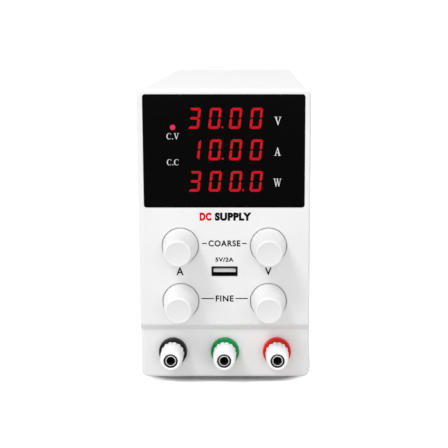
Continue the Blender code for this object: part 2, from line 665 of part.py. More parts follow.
def voltage_selector(case):
    x, z = SELECTOR_AT
    at = (x, 0, z)
    front = REAR_FACE - REAR_SHEET - GAP
    low, high = centred(SELECTOR_BODY[0], front - 8 * MM, front, SELECTOR_BODY[1])
    housing = box("selector_housing", low, high, case, at, "black_plastic")
    width, height = SELECTOR_WELL
    low, high = centred(width, front - 5 * MM, front + MM, height)
    cut(housing, box("cut_selector_well", low, high, case, at))
    axis = empty("selector_axis", case, (x - SELECTOR_TRAVEL / 2, 0, z))
    slider_width = width - SELECTOR_TRAVEL - 2 * GAP
    low, high = centred(slider_width, front - 4.7 * MM, front + 0.6 * MM, height - 2 * GAP)
    slider = box("selector_slider", low, high, axis, mat="red_plastic")
    low, high = centred(MM, front - 0.5 * MM, front + 2 * MM, 4.8 * MM)
    cut(slider, box("cut_slider_slot", low, high, axis))


# ---- inside ---------------------------------------------------------------------------------------------
def inside(case):
    """The main circuit board and its three largest parts."""
    floor = 12 * MM
    top = floor + BOARD_THICK
    low, high = (-33 * MM, 24 * MM, floor), (33 * MM, 174 * MM, top)
    box("main_board", low, high, case, mat="circuit_board")
    on_board = top + GAP

    at = (10 * MM, 112 * MM, on_board)
    core = box("transformer", (-17 * MM, -14 * MM, 0), (17 * MM, 14 * MM, 32 * MM), case, at, "ferrite")
    outline = rounded(30 * MM, 40 * MM, 6 * MM, 3)
    join(core, sweep("winding", outline, "Z", 5 * MM, 27 * MM, case, at))

    fins, pitch, thick = 8, 8 * MM, 1.6 * MM
    outline = [(-3 * MM, -thick / 2)]
    for i in range(fins):
        y = i * pitch
        outline += [(10 * MM, y - thick / 2), (10 * MM, y + thick / 2)]
        if i < fins - 1:
            outline += [(0, y + thick / 2), (0, y + pitch - thick / 2)]
    outline.append((-3 * MM, (fins - 1) * pitch + thick / 2))
    at = (-29 * MM, 96 * MM, on_board)
    sweep("heatsink", outline, "Z", 0, 44 * MM, case, at, "aluminium")

    can = disc("input_capacitor", 11 * MM, 0, 34 * MM, 24, case, mat="black_plastic", edge=MM)
    can.rotation_euler = (math.radians(90), 0, 0)
    can.location = (14 * MM, 62 * MM, on_board)


def main():
    clear_scene()
    case = empty("case", at=(0, -MID_Y, 0))
    front_panel(case)
    board_y = display(case)
    front_board(case, board_y)
    usb_port(case)
    knobs(case, board_y)
    binding_posts(case)
    case_cover(case)
    base_chassis(case)
    rear_panel(case)
    fan(case)
    fan_guard(case)
    mains_inlet(case)
    power_switch(case)
    voltage_selector(case)
    inside(case)


main()
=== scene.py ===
"""Looks of the bench power supply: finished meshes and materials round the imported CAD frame."""

import math

import bmesh
import bpy
from mathutils import Matrix, Vector

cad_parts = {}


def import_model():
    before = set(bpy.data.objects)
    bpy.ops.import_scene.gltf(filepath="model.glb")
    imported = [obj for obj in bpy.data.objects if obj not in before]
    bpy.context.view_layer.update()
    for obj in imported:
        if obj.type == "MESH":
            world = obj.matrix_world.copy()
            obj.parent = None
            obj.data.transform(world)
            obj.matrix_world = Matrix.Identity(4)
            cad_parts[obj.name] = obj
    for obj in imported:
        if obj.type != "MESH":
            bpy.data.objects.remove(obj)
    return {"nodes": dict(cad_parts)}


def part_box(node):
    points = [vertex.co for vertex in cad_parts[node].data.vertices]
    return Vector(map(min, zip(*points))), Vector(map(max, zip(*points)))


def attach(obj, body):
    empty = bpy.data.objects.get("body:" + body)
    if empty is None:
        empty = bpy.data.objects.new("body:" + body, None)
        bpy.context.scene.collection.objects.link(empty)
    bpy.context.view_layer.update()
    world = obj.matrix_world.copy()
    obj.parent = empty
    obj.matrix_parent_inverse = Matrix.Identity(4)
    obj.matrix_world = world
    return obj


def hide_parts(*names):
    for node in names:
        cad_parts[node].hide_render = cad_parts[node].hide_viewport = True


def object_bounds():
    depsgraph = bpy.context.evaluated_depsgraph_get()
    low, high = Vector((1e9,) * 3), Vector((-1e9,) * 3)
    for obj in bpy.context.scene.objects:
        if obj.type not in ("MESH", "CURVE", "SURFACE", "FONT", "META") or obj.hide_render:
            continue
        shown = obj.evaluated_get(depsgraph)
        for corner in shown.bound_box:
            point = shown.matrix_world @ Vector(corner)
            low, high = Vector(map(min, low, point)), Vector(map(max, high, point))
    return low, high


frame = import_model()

MM = 0.001
cad_box = [list(corner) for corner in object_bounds()]


# ---- places read from the frame -------------------------------------------------------------------------
def centre(node):
    low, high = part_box(node)
    return (low + high) / 2


def front_view(node):
    """A node's box seen from the front: its middle (x, z), width, height, and front and rear y."""
    low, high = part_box(node)
    at = centre(node)
    return (at.x, at.z), high.x - low.x, high.z - low.z, low.y, high.y


def middle_of(node):
    return front_view(node)[0]


panel_low, panel_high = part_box("front_panel")
FACE, PANEL_BACK = panel_low.y, panel_high.y
BOTTOM, TOP, HALF = panel_low.z, panel_high.z, panel_high.x
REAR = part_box("rear_panel")[1].y  # the rear panel's outer face
KNOBS = {
    f"{quantity}_{row}": middle_of(f"{quantity}_{row}_knob")
    for quantity in ("current", "voltage")
    for row in ("coarse", "fine")
}
POSTS = {colour: middle_of(f"{colour}_post_base") for colour in ("black", "green", "red")}


# ---- camera, lamps and floor ----------------------------------------------------------------------------
CAMERA_AT = (13.35 * MM, -414.05 * MM, 171.61 * MM)  # from the middle of the panel's face, on the floor
CAMERA_LENS = 71.572
CAMERA_DOWN = 8.0
CAMERA_SHIFT = (-0.0635, -0.155)
# Name, place from the panel, disc diameter (metres) and power (watts) of each lamp.
LAMPS = (
    ("key", (-0.6, -0.75, 1.25), 0.45, 9.5),
    ("front_fill", (0.25, -1.6, 0.35), 1.4, 3.7),
)
LAMP_TARGET = Vector((0, FACE, 0.07))
AMBIENT = 0.88  # the light that surrounds the object
BACKDROP = 1.1  # the same backdrop as the camera sees it
FLOOR_HALF = 6
FLOOR_WHITE = 0.97  # the floor's own grey where the camera sees it
FLOOR_BOUNCE = 0.65  # its grey as it lights the object
FLOOR_GLOW = 1.1
FLOOR_GLOW_END = 10 * MM
FLOOR_INSET = (2 * MM, 8.4 * MM)  # how far in from the case's sides and ends the glow starts
FLOOR_CORNER = 20 * MM


# ---- materials ------------------------------------------------------------------------------------------
COLOUR_PATCH = 45  # scale of the slow changes of colour
GLOSS_CHANGE = 0.06
GRAIN_DEPTH = 0.05 * MM
BRUSH_LINES = 900
BRUSH_DEPTH = 0.02 * MM


def principled(name, colour, roughness, metallic=0.0, specular=0.5):
    made = bpy.data.materials.new(name)
    made.use_nodes = True
    shader = made.node_tree.nodes["Principled BSDF"]
    shader.inputs["Base Color"].default_value = (*colour, 1)
    shader.inputs["Roughness"].default_value = roughness
    shader.inputs["Metallic"].default_value = metallic
    shader.inputs["Specular IOR Level"].default_value = specular
    return made, made.node_tree, shader


def noise(tree, scale, detail=2.0, stretch=(1, 1, 1)):
    """A noise pattern fixed to the object's own coordinates."""
    coordinates = tree.nodes.new("ShaderNodeTexCoord")
    mapping = tree.nodes.new("ShaderNodeMapping")
    mapping.inputs["Scale"].default_value = stretch
    pattern = tree.nodes.new("ShaderNodeTexNoise")
    pattern.inputs["Scale"].default_value = scale
    pattern.inputs["Detail"].default_value = detail
    tree.links.new(coordinates.outputs["Object"], mapping.inputs["Vector"])
    tree.links.new(mapping.outputs["Vector"], pattern.inputs["Vector"])
    return pattern


def ramp(tree, pattern, low, high, socket):
    """Maps a pattern's middle range to a range of greys or colours, into a socket."""
    made = tree.nodes.new("ShaderNodeValToRGB")
    for element, position, shade in zip(made.color_ramp.elements, (0.35, 0.65), (low, high)):
        element.position = position
        element.color = (*shade, 1) if hasattr(shade, "__len__") else (shade, shade, shade, 1)
    tree.links.new(pattern.outputs["Fac"], made.inputs["Fac"])
    tree.links.new(made.outputs["Color"], socket)


def bump(tree, shader, pattern, strength, distance):
    made = tree.nodes.new("ShaderNodeBump")
    made.inputs["Strength"].default_value = strength
    made.inputs["Distance"].default_value = distance
    tree.links.new(pattern.outputs["Fac"], made.inputs["Height"])
    tree.links.new(made.outputs["Normal"], shader.inputs["Normal"])


def textured(name, colour, roughness, scale, strength, vary=0.03, specular=0.5):
    """A moulded or coated surface: fine grain, and slight changes of colour and gloss."""
    made, tree, shader = principled(name, colour, roughness, specular=specular)
    low = [c * (1 - vary) for c in colour]
    high = [min(1, c * (1 + vary)) for c in colour]
    ramp(tree, noise(tree, COLOUR_PATCH, 3), low, high, shader.inputs["Base Color"])
    grain = noise(tree, scale)
    low, high = max(0, roughness - GLOSS_CHANGE), min(1, roughness + GLOSS_CHANGE)
    ramp(tree, grain, low, high, shader.inputs["Roughness"])
    bump(tree, shader, grain, strength, GRAIN_DEPTH)
    return made


def brushed(name, colour, roughness, stretch, strength=0.1):
    """Metal with fine drawn or turned lines along one direction."""
    made, tree, shader = principled(name, colour, roughness, metallic=1.0)
    pattern = noise(tree, BRUSH_LINES, 3, stretch)
    ramp(tree, pattern, max(0, roughness - 0.1), min(1, roughness + 0.12), shader.inputs["Roughness"])
    low, high = [c * 0.93 for c in colour], [min(1, c * 1.05) for c in colour]
    ramp(tree, pattern, low, high, shader.inputs["Base Color"])
    bump(tree, shader, pattern, strength, BRUSH_DEPTH)
    return made


def glowing(name, colour):
    """A lit mark: dark in itself, with an even glow that is slightly mottled."""
    made, tree, shader = principled(name, [c * 0.08 for c in colour], 0.4, specular=0.02)
    ramp(tree, noise(tree, 500, 1), [c * 0.9 for c in colour], colour, shader.inputs["Emission Color"])
    shader.inputs["Emission Strength"].default_value = 1.0
    return made


LOOK = {
    "panel": textured("panel_white", (0.8, 0.8, 0.8), 0.45, 2600, 0.12, vary=0.006, specular=0.3),
    "paint": textured("cover_white", (0.8, 0.8, 0.803), 0.5, 1500, 0.3, vary=0.006),
    "knob": textured("knob_white", (0.82, 0.82, 0.82), 0.33, 3000, 0.06, vary=0.004),
    # painted shade: the knobs' front discs get a darker white than their sides, for the shade of a face that
    # looks forward
    "shaded_knob_front": textured("knob_front_painted_shade", (0.745, 0.745, 0.745), 0.36, 3000, 0.06, vary=0.004),
    "cap": textured("cap_white", (0.92, 0.92, 0.92), 0.3, 3000, 0.05, vary=0.004),
    "window": textured("window_black", (0.0011, 0.0011, 0.0012), 0.12, 300, 0.01, specular=0.03),
    "digit": glowing("digit_red", (0.57, 0.009, 0.018)),
    "lamp": glowing("lamp_red", (0.72, 0.035, 0.09)),
    "lamp_off": textured("lamp_dark", (0.0024, 0.0022, 0.0022), 0.3, 900, 0.02, specular=0.1),
    "ink": textured("ink_dark", (0.004, 0.004, 0.005), 0.7, 3000, 0.05, specular=0.1),
    "ink_red": textured("ink_red", (0.64, 0.006, 0.01), 0.6, 3000, 0.05, specular=0.1),
    "ink_white": textured("ink_white", (0.66, 0.66, 0.66), 0.55, 3000, 0.05),
    "black": textured("plastic_black", (0.018, 0.018, 0.019), 0.42, 2200, 0.15, vary=0.1),
    "base_black": textured("base_black", (0.009, 0.009, 0.01), 0.4, 2600, 0.08, vary=0.08, specular=0.2),
    "base_green": textured("base_green", (0.0, 0.25, 0.055), 0.4, 2600, 0.08, vary=0.05, specular=0.15),
    "base_red": textured("base_red", (0.66, 0.013, 0.009), 0.4, 2600, 0.08, vary=0.05, specular=0.15),
    "red": textured("plastic_red", (0.5, 0.02, 0.015), 0.36, 2600, 0.08, vary=0.05),
    "rubber": textured("rubber_black", (0.02, 0.02, 0.02), 0.82, 1800, 0.4, vary=0.12),
    "tongue": textured("tongue_grey", (0.72, 0.72, 0.73), 0.5, 2200, 0.05, vary=0.03),
    # the outlet's shell: dark partly as its own black finish, partly as painted shade for the port's inside
    "shell": brushed("black_nickel", (0.035, 0.035, 0.037), 0.45, (1, 0.05, 1)),
    # painted shade: near-black for the shade inside the post bores and the caps' mouths
    "dark": textured("painted_shade_hollow", (0.006, 0.006, 0.006), 0.75, 1500, 0.05),
    "nickel": brushed("nickel", (0.66, 0.65, 0.63), 0.26, (1, 0.06, 1)),
    "tube": brushed("satin_nickel", (0.8, 0.79, 0.77), 0.42, (1, 0.06, 1), 0.02),
    "bright": brushed("bright_nickel", (0.74, 0.73, 0.71), 0.2, (1, 1, 0.06)),
    "brass": brushed("brass", (0.75, 0.56, 0.26), 0.3, (1, 0.06, 1)),
    "steel": brushed("plated_steel", (0.5, 0.51, 0.53), 0.36, (1, 0.05, 1)),
    "aluminium": brushed("aluminium", (0.62, 0.62, 0.64), 0.38, (1, 1, 0.05)),
    "board": textured("solder_mask", (0.015, 0.16, 0.06), 0.4, 500, 0.2, vary=0.15),
    "ferrite": textured("ferrite", (0.05, 0.05, 0.055), 0.6, 900, 0.3, vary=0.15),
    # painted shade: a dark card that stands for the shade inside the case
    "card": textured("shade_card", (0.022, 0.02, 0.018), 0.7, 900, 0.2, vary=0.12),
    "sleeve": textured("sleeve", (0.03, 0.03, 0.08), 0.35, 700, 0.1, vary=0.08),
}


# ---- mesh building --------------------------------------------------------------------------------------
Y_TO_Z = Matrix.Rotation(math.radians(90), 4, "X")
SHARP_ANGLE = math.radians(32)


def add_object(name, mesh):
    obj = bpy.data.objects.new(name, mesh)
    bpy.context.scene.collection.objects.link(obj)
    return obj


def mesh_object(name, verts, faces, look):
    mesh = bpy.data.meshes.new(name)
    mesh.from_pydata([tuple(v) for v in verts], [], faces)
    bm = bmesh.new()
    bm.from_mesh(mesh)
    bmesh.ops.remove_doubles(bm, verts=bm.verts, dist=1e-7)
    bmesh.ops.recalc_face_normals(bm, faces=bm.faces)
    bm.to_mesh(mesh)
    bm.free()
    if look:
        mesh.materials.append(LOOK[look])
    return add_object(name, mesh)


def arc(middle, radius, start, end, steps):
    """Points on an arc, angles in degrees."""
    angles = [math.radians(start + (end - start) * i / steps) for i in range(steps + 1)]
    return [(middle[0] + radius * math.cos(a), middle[1] + radius * math.sin(a)) for a in angles]


def circle(middle, radius, count):
    return arc(middle, radius, 0, 360 - 360 / count, count - 1)


def rectangle(left, low, right, high):
    return [(left, low), (right, low), (right, high), (left, high)]


def rounded(width, height, radius, steps=8, middle=(0, 0)):
    """Outline of a rectangle with round corners, counter-clockwise."""
    points = []
    for quarter, (sx, sz) in enumerate(((1, -1), (1, 1), (-1, 1), (-1, -1))):
        corner = (middle[0] + sx * (width / 2 - radius), middle[1] + sz * (height / 2 - radius))
        points += arc(corner, radius, -90 + 90 * quarter, 90 * quarter, steps)
    return points


def place(axis, a, b, s):
    return {"X": (s, a, b), "Y": (a, s, b), "Z": (a, b, s)}[axis]


def bands(rings, count):
    """Faces between neighbouring rings of count points each."""
    faces = []
    for a in range(0, (rings - 1) * count, count):
        b = a + count
        faces += [[a + i, a + (i + 1) % count, b + (i + 1) % count, b + i] for i in range(count)]
    return faces


def loft(name, rings, look):
    """Skins rings that have the same number of 3-D points, and closes both ends."""
    count = len(rings[0])
    verts = [p for ring in rings for p in ring]
    faces = [list(range(count)), list(range(len(verts) - count, len(verts)))]
    return mesh_object(name, verts, faces + bands(len(rings), count), look)


def sweep(name, outline, axis, low, high, look):
    """Carries an outline along an axis from low to high."""
    return loft(name, [[place(axis, a, b, s) for a, b in outline] for s in (low, high)], look)


def plate(name, node, radius, steps, look):
    """A slab along Y of a node's own size, with round corners seen from the front."""
    middle, width, height, front, back = front_view(node)
    return sweep(name, rounded(width, height, radius, steps, middle), "Y", front, back, look)


def edged(name, size, radius, corner_steps, middle, ends, edges, look, steps=4):
    """A slab along Y with round corners, whose rim is rounded by edges at both ends."""
    rings = []
    for edge, end, sign in zip(edges, ends, (1, -1)):
        part = []
        for i in range(steps + 1):
            turn = math.pi / 2 * i / steps
            inset, y = edge * (1 - math.sin(turn)), end + sign * edge * (1 - math.cos(turn))
            width, height = (side - 2 * inset for side in size)
            outline = rounded(width, height, radius - inset, corner_steps, middle)
            part.append([(x, y, z) for x, z in outline])
        rings += part[::sign]
    return loft(name, rings, look)


def turned(name, profile, at, look, segments=96, looped=False, radius_at=None):
    """Revolves (radius, y) points round an axis along Y through (x, z). Radius 0 closes an end."""
    verts, rows = [], []
    for k, (radius, y) in enumerate(profile):
        row = []
        for i in range(1 if radius == 0 else segments):
            turn = 2 * math.pi * i / segments
            r = radius_at(radius, k, turn) if radius_at and radius else radius
            row.append(len(verts))
            verts.append((at[0] + r * math.cos(turn), y, at[1] + r * math.sin(turn)))
        rows.append(row)
    faces = []
    for a, b in zip(rows, rows[1:] + (rows[:1] if looped else [])):
        for i in range(segments):
            j = (i + 1) % segments
            corners = dict.fromkeys([a[i % len(a)], a[j % len(a)], b[j % len(b)], b[i % len(b)]])
            if len(corners) > 2:
                faces.append(list(corners))
    return mesh_object(name, verts, faces, look)


def cylinder(radius, low, high, at, segments=64):
    return turned("cylinder", [(0, low), (radius, low), (radius, high), (0, high)], at, None, segments)


def soft_corners(points, radius, steps=4, closed=False):
    """The same path with its inner corners rounded by radius, or less where a side is short."""
    made = []
    count = len(points)
    for i, point in enumerate(points):
        if not closed and i in (0, count - 1):
            made.append(tuple(point))
            continue
        here = Vector(point)
        before = Vector(points[i - 1]) - here
        after = Vector(points[(i + 1) % count]) - here
        turn = before.angle(after)
        if turn > math.radians(172):
            made.append(tuple(point))
            continue
        reach = min(radius / math.tan(turn / 2), 0.48 * before.length, 0.48 * after.length)
        start, end = here + before.normalized() * reach, here + after.normalized() * reach
        for k in range(steps + 1):
            t = k / steps
            made.append(tuple(start * (1 - t) ** 2 + here * 2 * t * (1 - t) + end * t * t))
    return made


def evaluated_mesh(obj):
    bpy.context.view_layer.update()
    return bpy.data.meshes.new_from_object(obj.evaluated_get(bpy.context.evaluated_depsgraph_get()))


def apply_boolean(obj, others, operation):
    for other in others:
        modifier = obj.modifiers.new("boolean", "BOOLEAN")
        modifier.operation = operation
        modifier.solver = "EXACT"
        modifier.object = other
        mesh = evaluated_mesh(obj)
        obj.modifiers.remove(modifier)
        old = obj.data
        obj.data = mesh
        bpy.data.meshes.remove(old)
        bpy.data.objects.remove(other)


def cut(obj, *cutters):
    apply_boolean(obj, cutters, "DIFFERENCE")


def join(obj, *others):
    apply_boolean(obj, others, "UNION")


def cut_slot(obj, size, radius, steps, middle, low, high):
    """Cuts a rectangle with round corners out of y from low to high."""
    cut(obj, sweep("slot", rounded(*size, radius, steps, middle), "Y", low, high, None))


def cut_sideways(obj, outline):
    """Cuts an outline of (y, z) points through both side walls."""
    cut(obj, sweep("sideways", outline, "X", -50 * MM, 50 * MM, None))


def drill(obj, radius, at, low, high, segments=64):
    cut(obj, cylinder(radius, low, high, at, segments))


def soften(obj, width, segments=2, angle=35):
    """Rounds the sharp edges."""
    modifier = obj.modifiers.new("edges", "BEVEL")
    modifier.width = width
    modifier.segments = segments
    modifier.limit_method = "ANGLE"
    modifier.angle_limit = math.radians(angle)
    modifier.harden_normals = False
    modifier.use_clamp_overlap = True
    return obj


def wear(obj, body, slot=None, *nodes):
    """Gives a finished piece its body and hides the CAD nodes that it stands for. The slot argument is not
    used.
    """
    obj.data.shade_smooth()
    obj.data.set_sharp_from_angle(angle=SHARP_ANGLE)
    obj.modifiers.new("normals", "WEIGHTED_NORMAL").keep_sharp = True
    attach(obj, body)
    if nodes:
        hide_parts(*nodes)


def paint(obj, look, axis, radius, low=-1, high=1):
    """Gives another material to the faces near an axis along Y, between two places on it."""
    obj.data.materials.append(LOOK[look])
    index = len(obj.data.materials) - 1
    for face in obj.data.polygons:
        x, y, z = face.center
        if math.hypot(x - axis[0], z - axis[1]) < radius and low < y < high:
            face.material_index = index


# ---- front panel ----------------------------------------------------------------------------------------
STEP_HIGH = 31.1 * MM
STEP_LOW = 27 * MM
STEP_DEPTH = 2.5 * MM
PANEL_CORNER = 3.5 * MM
PANEL_EDGE = 1.6 * MM
PANEL_WALL = 2.6 * MM
SIDE_WALL = 2.2 * MM
RECESS_RADIUS = 8.85 * MM
RECESS_DEPTH = 1.6 * MM
RECESS_EDGE = 0.12 * MM
FIT_GAP = 0.3 * MM


def face_y(z):
    t = min(1, max(0, (STEP_HIGH - z) / (STEP_HIGH - STEP_LOW)))
    return FACE + STEP_DEPTH * t * t * (3 - 2 * t)


def panel_block(name, inset, offset, back, edge, look):
    """The panel from its stepped face to back, inset all round, with its front edge rounded by edge."""
    corner_steps, level_steps, edge_steps = 10, 14, 6 if edge else 0

    def half_outline(i):
        half, low, high = HALF - i, BOTTOM + i, TOP - i
        radius = max(PANEL_CORNER - i, 0.2 * MM)
        points = arc((half - radius, low + radius), radius, -90, 0, corner_steps)
        for k in range(level_steps + 1):
            points.append((half, STEP_LOW + (STEP_HIGH - STEP_LOW) * k / level_steps))
        return points + arc((half - radius, high - radius), radius, 0, 90, corner_steps)

    rings = []
    for k in range(-1, edge_steps + 1):
        turn = math.pi / 2 * max(k, 0) / max(edge_steps, 1)
        half = half_outline(inset + edge * (1 - math.cos(turn)))
        around = half + [(-x, z) for x, z in reversed(half)]
        depth = edge * (1 - math.sin(turn))
        rings.append([(x, back if k < 0 else face_y(z) + offset + depth, z) for x, z in around])
    count = len(rings[0])
    faces = bands(len(rings), count)
    for first in (0, (len(rings) - 1) * count):
        for i in range(count // 2 - 1):
            faces.append([first + k for k in (i, i + 1, count - 2 - i, count - 1 - i)])
    return mesh_object(name, [p for ring in rings for p in ring], faces, look)


def front_panel():
    panel = panel_block("panel_shell", 0, 0, PANEL_BACK, PANEL_EDGE, "panel")
    cut(panel, panel_block("inner", SIDE_WALL, PANEL_WALL, PANEL_BACK + MM, 0, None))
    before, behind = FACE - MM, FACE + 4 * MM
    middle, width, height, _, back = front_view("display_window")
    size = (width + FIT_GAP, height + FIT_GAP)
    cut_slot(panel, size, 1.35 * MM, 8, middle, FACE - 5 * MM, back + FIT_GAP)
    for name in ("volts_display", "amps_display", "watts_display", "usb_shell"):
        middle, width, height = front_view(name)[:3]
        cut_slot(panel, (width + FIT_GAP, height + FIT_GAP), 0.4 * MM, 3, middle, before, behind)
    for at in KNOBS.values():
        rim, floor = RECESS_RADIUS + RECESS_EDGE, FACE + RECESS_DEPTH
        profile = [(0, before), (rim + MM, before), (rim, FACE)]
        profile += [(RECESS_RADIUS, FACE + RECESS_EDGE), (RECESS_RADIUS, floor), (0, floor)]
        cut(panel, turned("recess", profile, at, None))
        drill(panel, 3.3 * MM, at, before, behind)
    for at in POSTS.values():
        drill(panel, 4.2 * MM, at, before, FACE + 8 * MM)
    for name in ("cv_led", "cc_led"):
        drill(panel, 1.8 * MM, middle_of(name), before, behind, 24)
    wear(panel, "case", "white_plastic", "front_panel")


# ---- display --------------------------------------------------------------------------------------------
MARK_HALF = 0.05 * MM  # half the thickness of a mark's thin plate
GLYPH_LIFT = 0.05 * MM  # how far printed and lit marks stand proud
TYPE_LABEL_Z = 83.7 * MM
UNIT_X = 25.2 * MM  # the unit letters beside the digits
LAMP_X = -24 * MM  # the lamp's lens and the two lamp labels
SIDE_LABEL_Z = 57.05 * MM
DIGIT_HEIGHT = 9.85 * MM
DIGIT_WIDTH = 5.45 * MM
DIGIT_PITCH = 9.66 * MM
DIGITS_RIGHT = 0.65 * MM  # how far right of the window's middle the digits are centred
DIGIT_STROKE = 1.22 * MM
POINT_AT = (3.5 * MM, -4.2 * MM)  # from the middle of the digit before it
POINT_RADIUS = 0.46 * MM
DIGIT_SLANT = math.tan(math.radians(6.5))
SEGMENTS = {"0": "abcdef", "1": "bc", "3": "abcdg"}


def slab(name, polygons, y, look):
    """Flat marks on a face at y: each polygon of (x, z) points becomes a thin closed plate."""
    verts, faces = [], []
    for polygon in polygons:
        first, count = len(verts), len(polygon)
        verts += [(x, y - GLYPH_LIFT, z) for x, z in polygon]
        verts += [(x, y - GLYPH_LIFT + 2 * MARK_HALF, z) for x, z in polygon]
        faces.append([first + i for i in range(count)])
        faces.append([first + count + i for i in reversed(range(count))])
        for i in range(count):
            j = (i + 1) % count
            faces.append([first + i, first + count + i, first + count + j, first + j])
    return mesh_object(name, verts, faces, look)


def digit_polygons(digit, x, z):
    """The lit bars of one seven-bar digit, its centre at (x, z), leaning to the right."""
    wide, tall, bar, gap = DIGIT_WIDTH / 2, DIGIT_HEIGHT / 2, DIGIT_STROKE, 0.1 * MM
    bevel, tip = 0.55 * bar, 0.35 * bar
    bars = {
        "a": [
            (-wide + bevel, tall), (wide - bevel, tall), (wide - gap - tip, tall - tip),
            (wide - gap - bar, tall - bar), (-wide + gap + bar, tall - bar), (-wide + gap + tip, tall - tip),
        ],
        "b": [
            (wide, tall - bevel), (wide - 0.3 * bar, tall - 0.3 * bar - gap), (wide - bar, tall - bar - gap),
            (wide - bar, bar / 2 + gap), (wide - bar / 2, gap), (wide, bar / 2),
        ],
        "g": [
            (-wide + bar / 2 + gap, 0), (-wide + bar + gap, bar / 2), (wide - bar - gap, bar / 2),
            (wide - bar / 2 - gap, 0), (wide - bar - gap, -bar / 2), (-wide + bar + gap, -bar / 2),
        ],
    }
    bars["c"] = [(px, -pz) for px, pz in bars["b"]]
    bars["d"] = [(px, -pz) for px, pz in bars["a"]]
    bars["e"] = [(-px, -pz) for px, pz in bars["b"]]
    bars["f"] = [(-px, pz) for px, pz in bars["b"]]
    return [[(x + px + pz * DIGIT_SLANT, z + pz) for px, pz in bars[bar]] for bar in SEGMENTS[digit]]


def reading(name, text, front):
    """The lit digits and point of one row of the display."""
    z = middle_of(f"{name}_display")[1]
    polygons, column = [], 0
    for mark in text:
        x = (column - 1.5) * DIGIT_PITCH + DIGITS_RIGHT
        if mark == ".":
            polygons.append(circle((x - DIGIT_PITCH + POINT_AT[0], z + POINT_AT[1]), POINT_RADIUS, 24))
            continue
        polygons += digit_polygons(mark, x, z)
        column += 1
    wear(slab(f"{name}_digits", polygons, front, "digit"), "case", "led_red")


def display():
    middle, width, height, front, back = front_view("display_window")
    edges = (0.2 * MM, 0.05 * MM)
    window = edged("window_plate", (width, height), 1.2 * MM, 8, middle, (front, back), edges, "window")
    wear(window, "case", "window_black", "display_window")
    for name, text in (("volts", "30.00"), ("amps", "10.00"), ("watts", "300.0")):
        reading(name, text, front)
    top = front - 0.12 * MM
    profile = [(0, top), (0.7 * MM, top + 0.02 * MM), (1.15 * MM, top + 0.07 * MM)]
    profile += [(1.35 * MM, top + 0.14 * MM), (1.35 * MM, top + 0.22 * MM), (0, top + 0.22 * MM)]
    lens = turned("cv_lamp_lens", profile, (LAMP_X, middle_of("cv_led")[1]), "lamp", 48)
    wear(lens, "case", "led_red")


# ---- printed marks --------------------------------------------------------------------------------------
SERIF_ADVANCE = {"V": 0.98, "A": 1.05, "W": 1.35, "C": 0.98, ".": 0.4}
LETTER_SPACING = 1.14
CAPITAL = 0.729  # how tall a capital of the built-in font is, for a size of 1


def serif_glyph(letter):
    """Outlines of a serif capital in a box of height 1, from the baseline up. A second one is a hole."""
    bar = 0.055
    if letter == "V":
        return [[(0, 1), (0.42, 1), (0.42, 1 - bar), (0.285, 1 - bar), (0.54, 0.24), (0.785, 1 - bar),
                 (0.66, 1 - bar), (0.66, 1), (1, 1), (1, 1 - bar), (0.89, 1 - bar), (0.54, -0.02),
                 (0.48, -0.02), (0.12, 1 - bar), (0, 1 - bar)]]
    if letter == "A":
        return [[(0, 0), (0.34, 0), (0.34, bar), (0.22, bar), (0.3, 0.3), (0.62, 0.3), (0.7, bar),
                 (0.58, bar), (0.58, 0), (1, 0), (1, bar), (0.89, bar), (0.55, 1.02), (0.49, 1.02),
                 (0.11, bar), (0, bar)],
                [(0.32, 0.37), (0.46, 0.8), (0.6, 0.37)]]
    if letter == "W":
        return [[(0, 1), (0.36, 1), (0.36, 1 - bar), (0.24, 1 - bar), (0.43, 0.24), (0.59, 0.76),
                 (0.55, 1 - bar), (0.49, 1 - bar), (0.49, 1), (0.81, 1), (0.81, 1 - bar), (0.71, 1 - bar),
                 (0.9, 0.24), (1.12, 1 - bar), (1.02, 1 - bar), (1.02, 1), (1.3, 1), (1.3, 1 - bar),
                 (1.2, 1 - bar), (0.9, -0.02), (0.84, -0.02), (0.65, 0.62), (0.43, -0.02), (0.37, -0.02),
                 (0.1, 1 - bar), (0, 1 - bar)]]
    if letter == "C":
        outer = arc((0.5, 0.5), 0.51, 52, 308, 20)
        inner = [(0.56 + 0.38 * math.cos(a), 0.5 + 0.455 * math.sin(a)) for a in
                 [math.radians(302 - 244 * k / 18) for k in range(19)]]
        serif = [(0.8, 0.72), (0.85, 0.72), (0.85, 0.98), (0.81, 0.98)]
        return [outer + [(0.85, 0.21), (0.79, 0.23)] + inner + serif]
    return [arc((0.19, 0.08), 0.09, 0, 345, 15)]


def outline_mesh(name, splines, y, look):
    """Filled 2-D outlines, holes included, as a thin plate on a face at y."""
    curve = bpy.data.curves.new(name, "CURVE")
    curve.dimensions = "2D"
    curve.fill_mode = "BOTH"
    for points in splines:
        spline = curve.splines.new("POLY")
        spline.points.add(len(points) - 1)
        for target, (x, z) in zip(spline.points, points):
            target.co = (x, z, 0, 1)
        spline.use_cyclic_u = True
    return curve_plate(name, curve, y, look)


def curve_plate(name, curve, y, look):
    """Turns a 2-D curve or text into a thin plate on a face at y, facing -Y."""
    curve.extrude = MARK_HALF
    helper = add_object(f"{name}_curve", curve)
    mesh = evaluated_mesh(helper)
    bpy.data.objects.remove(helper)
    mesh.transform(Matrix.Translation((0, y - GLYPH_LIFT + MARK_HALF, 0)) @ Y_TO_Z)
    mesh.name = name
    mesh.materials.clear()
    mesh.materials.append(LOOK[look])
    return add_object(name, mesh)


def serif_text(name, text, height, wide, x, z):
    """Serif letters on the window, centred at (x, z)."""
    pen = x - sum(SERIF_ADVANCE[letter] for letter in text) * wide / 2
    splines = []
    for letter in text:
        for outline in serif_glyph(letter):
            splines.append([(pen + a * wide, z - height / 2 + b * height) for a, b in outline])
        pen += SERIF_ADVANCE[letter] * wide
    wear(outline_mesh(name, splines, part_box("display_window")[0].y, "ink_white"), "case")


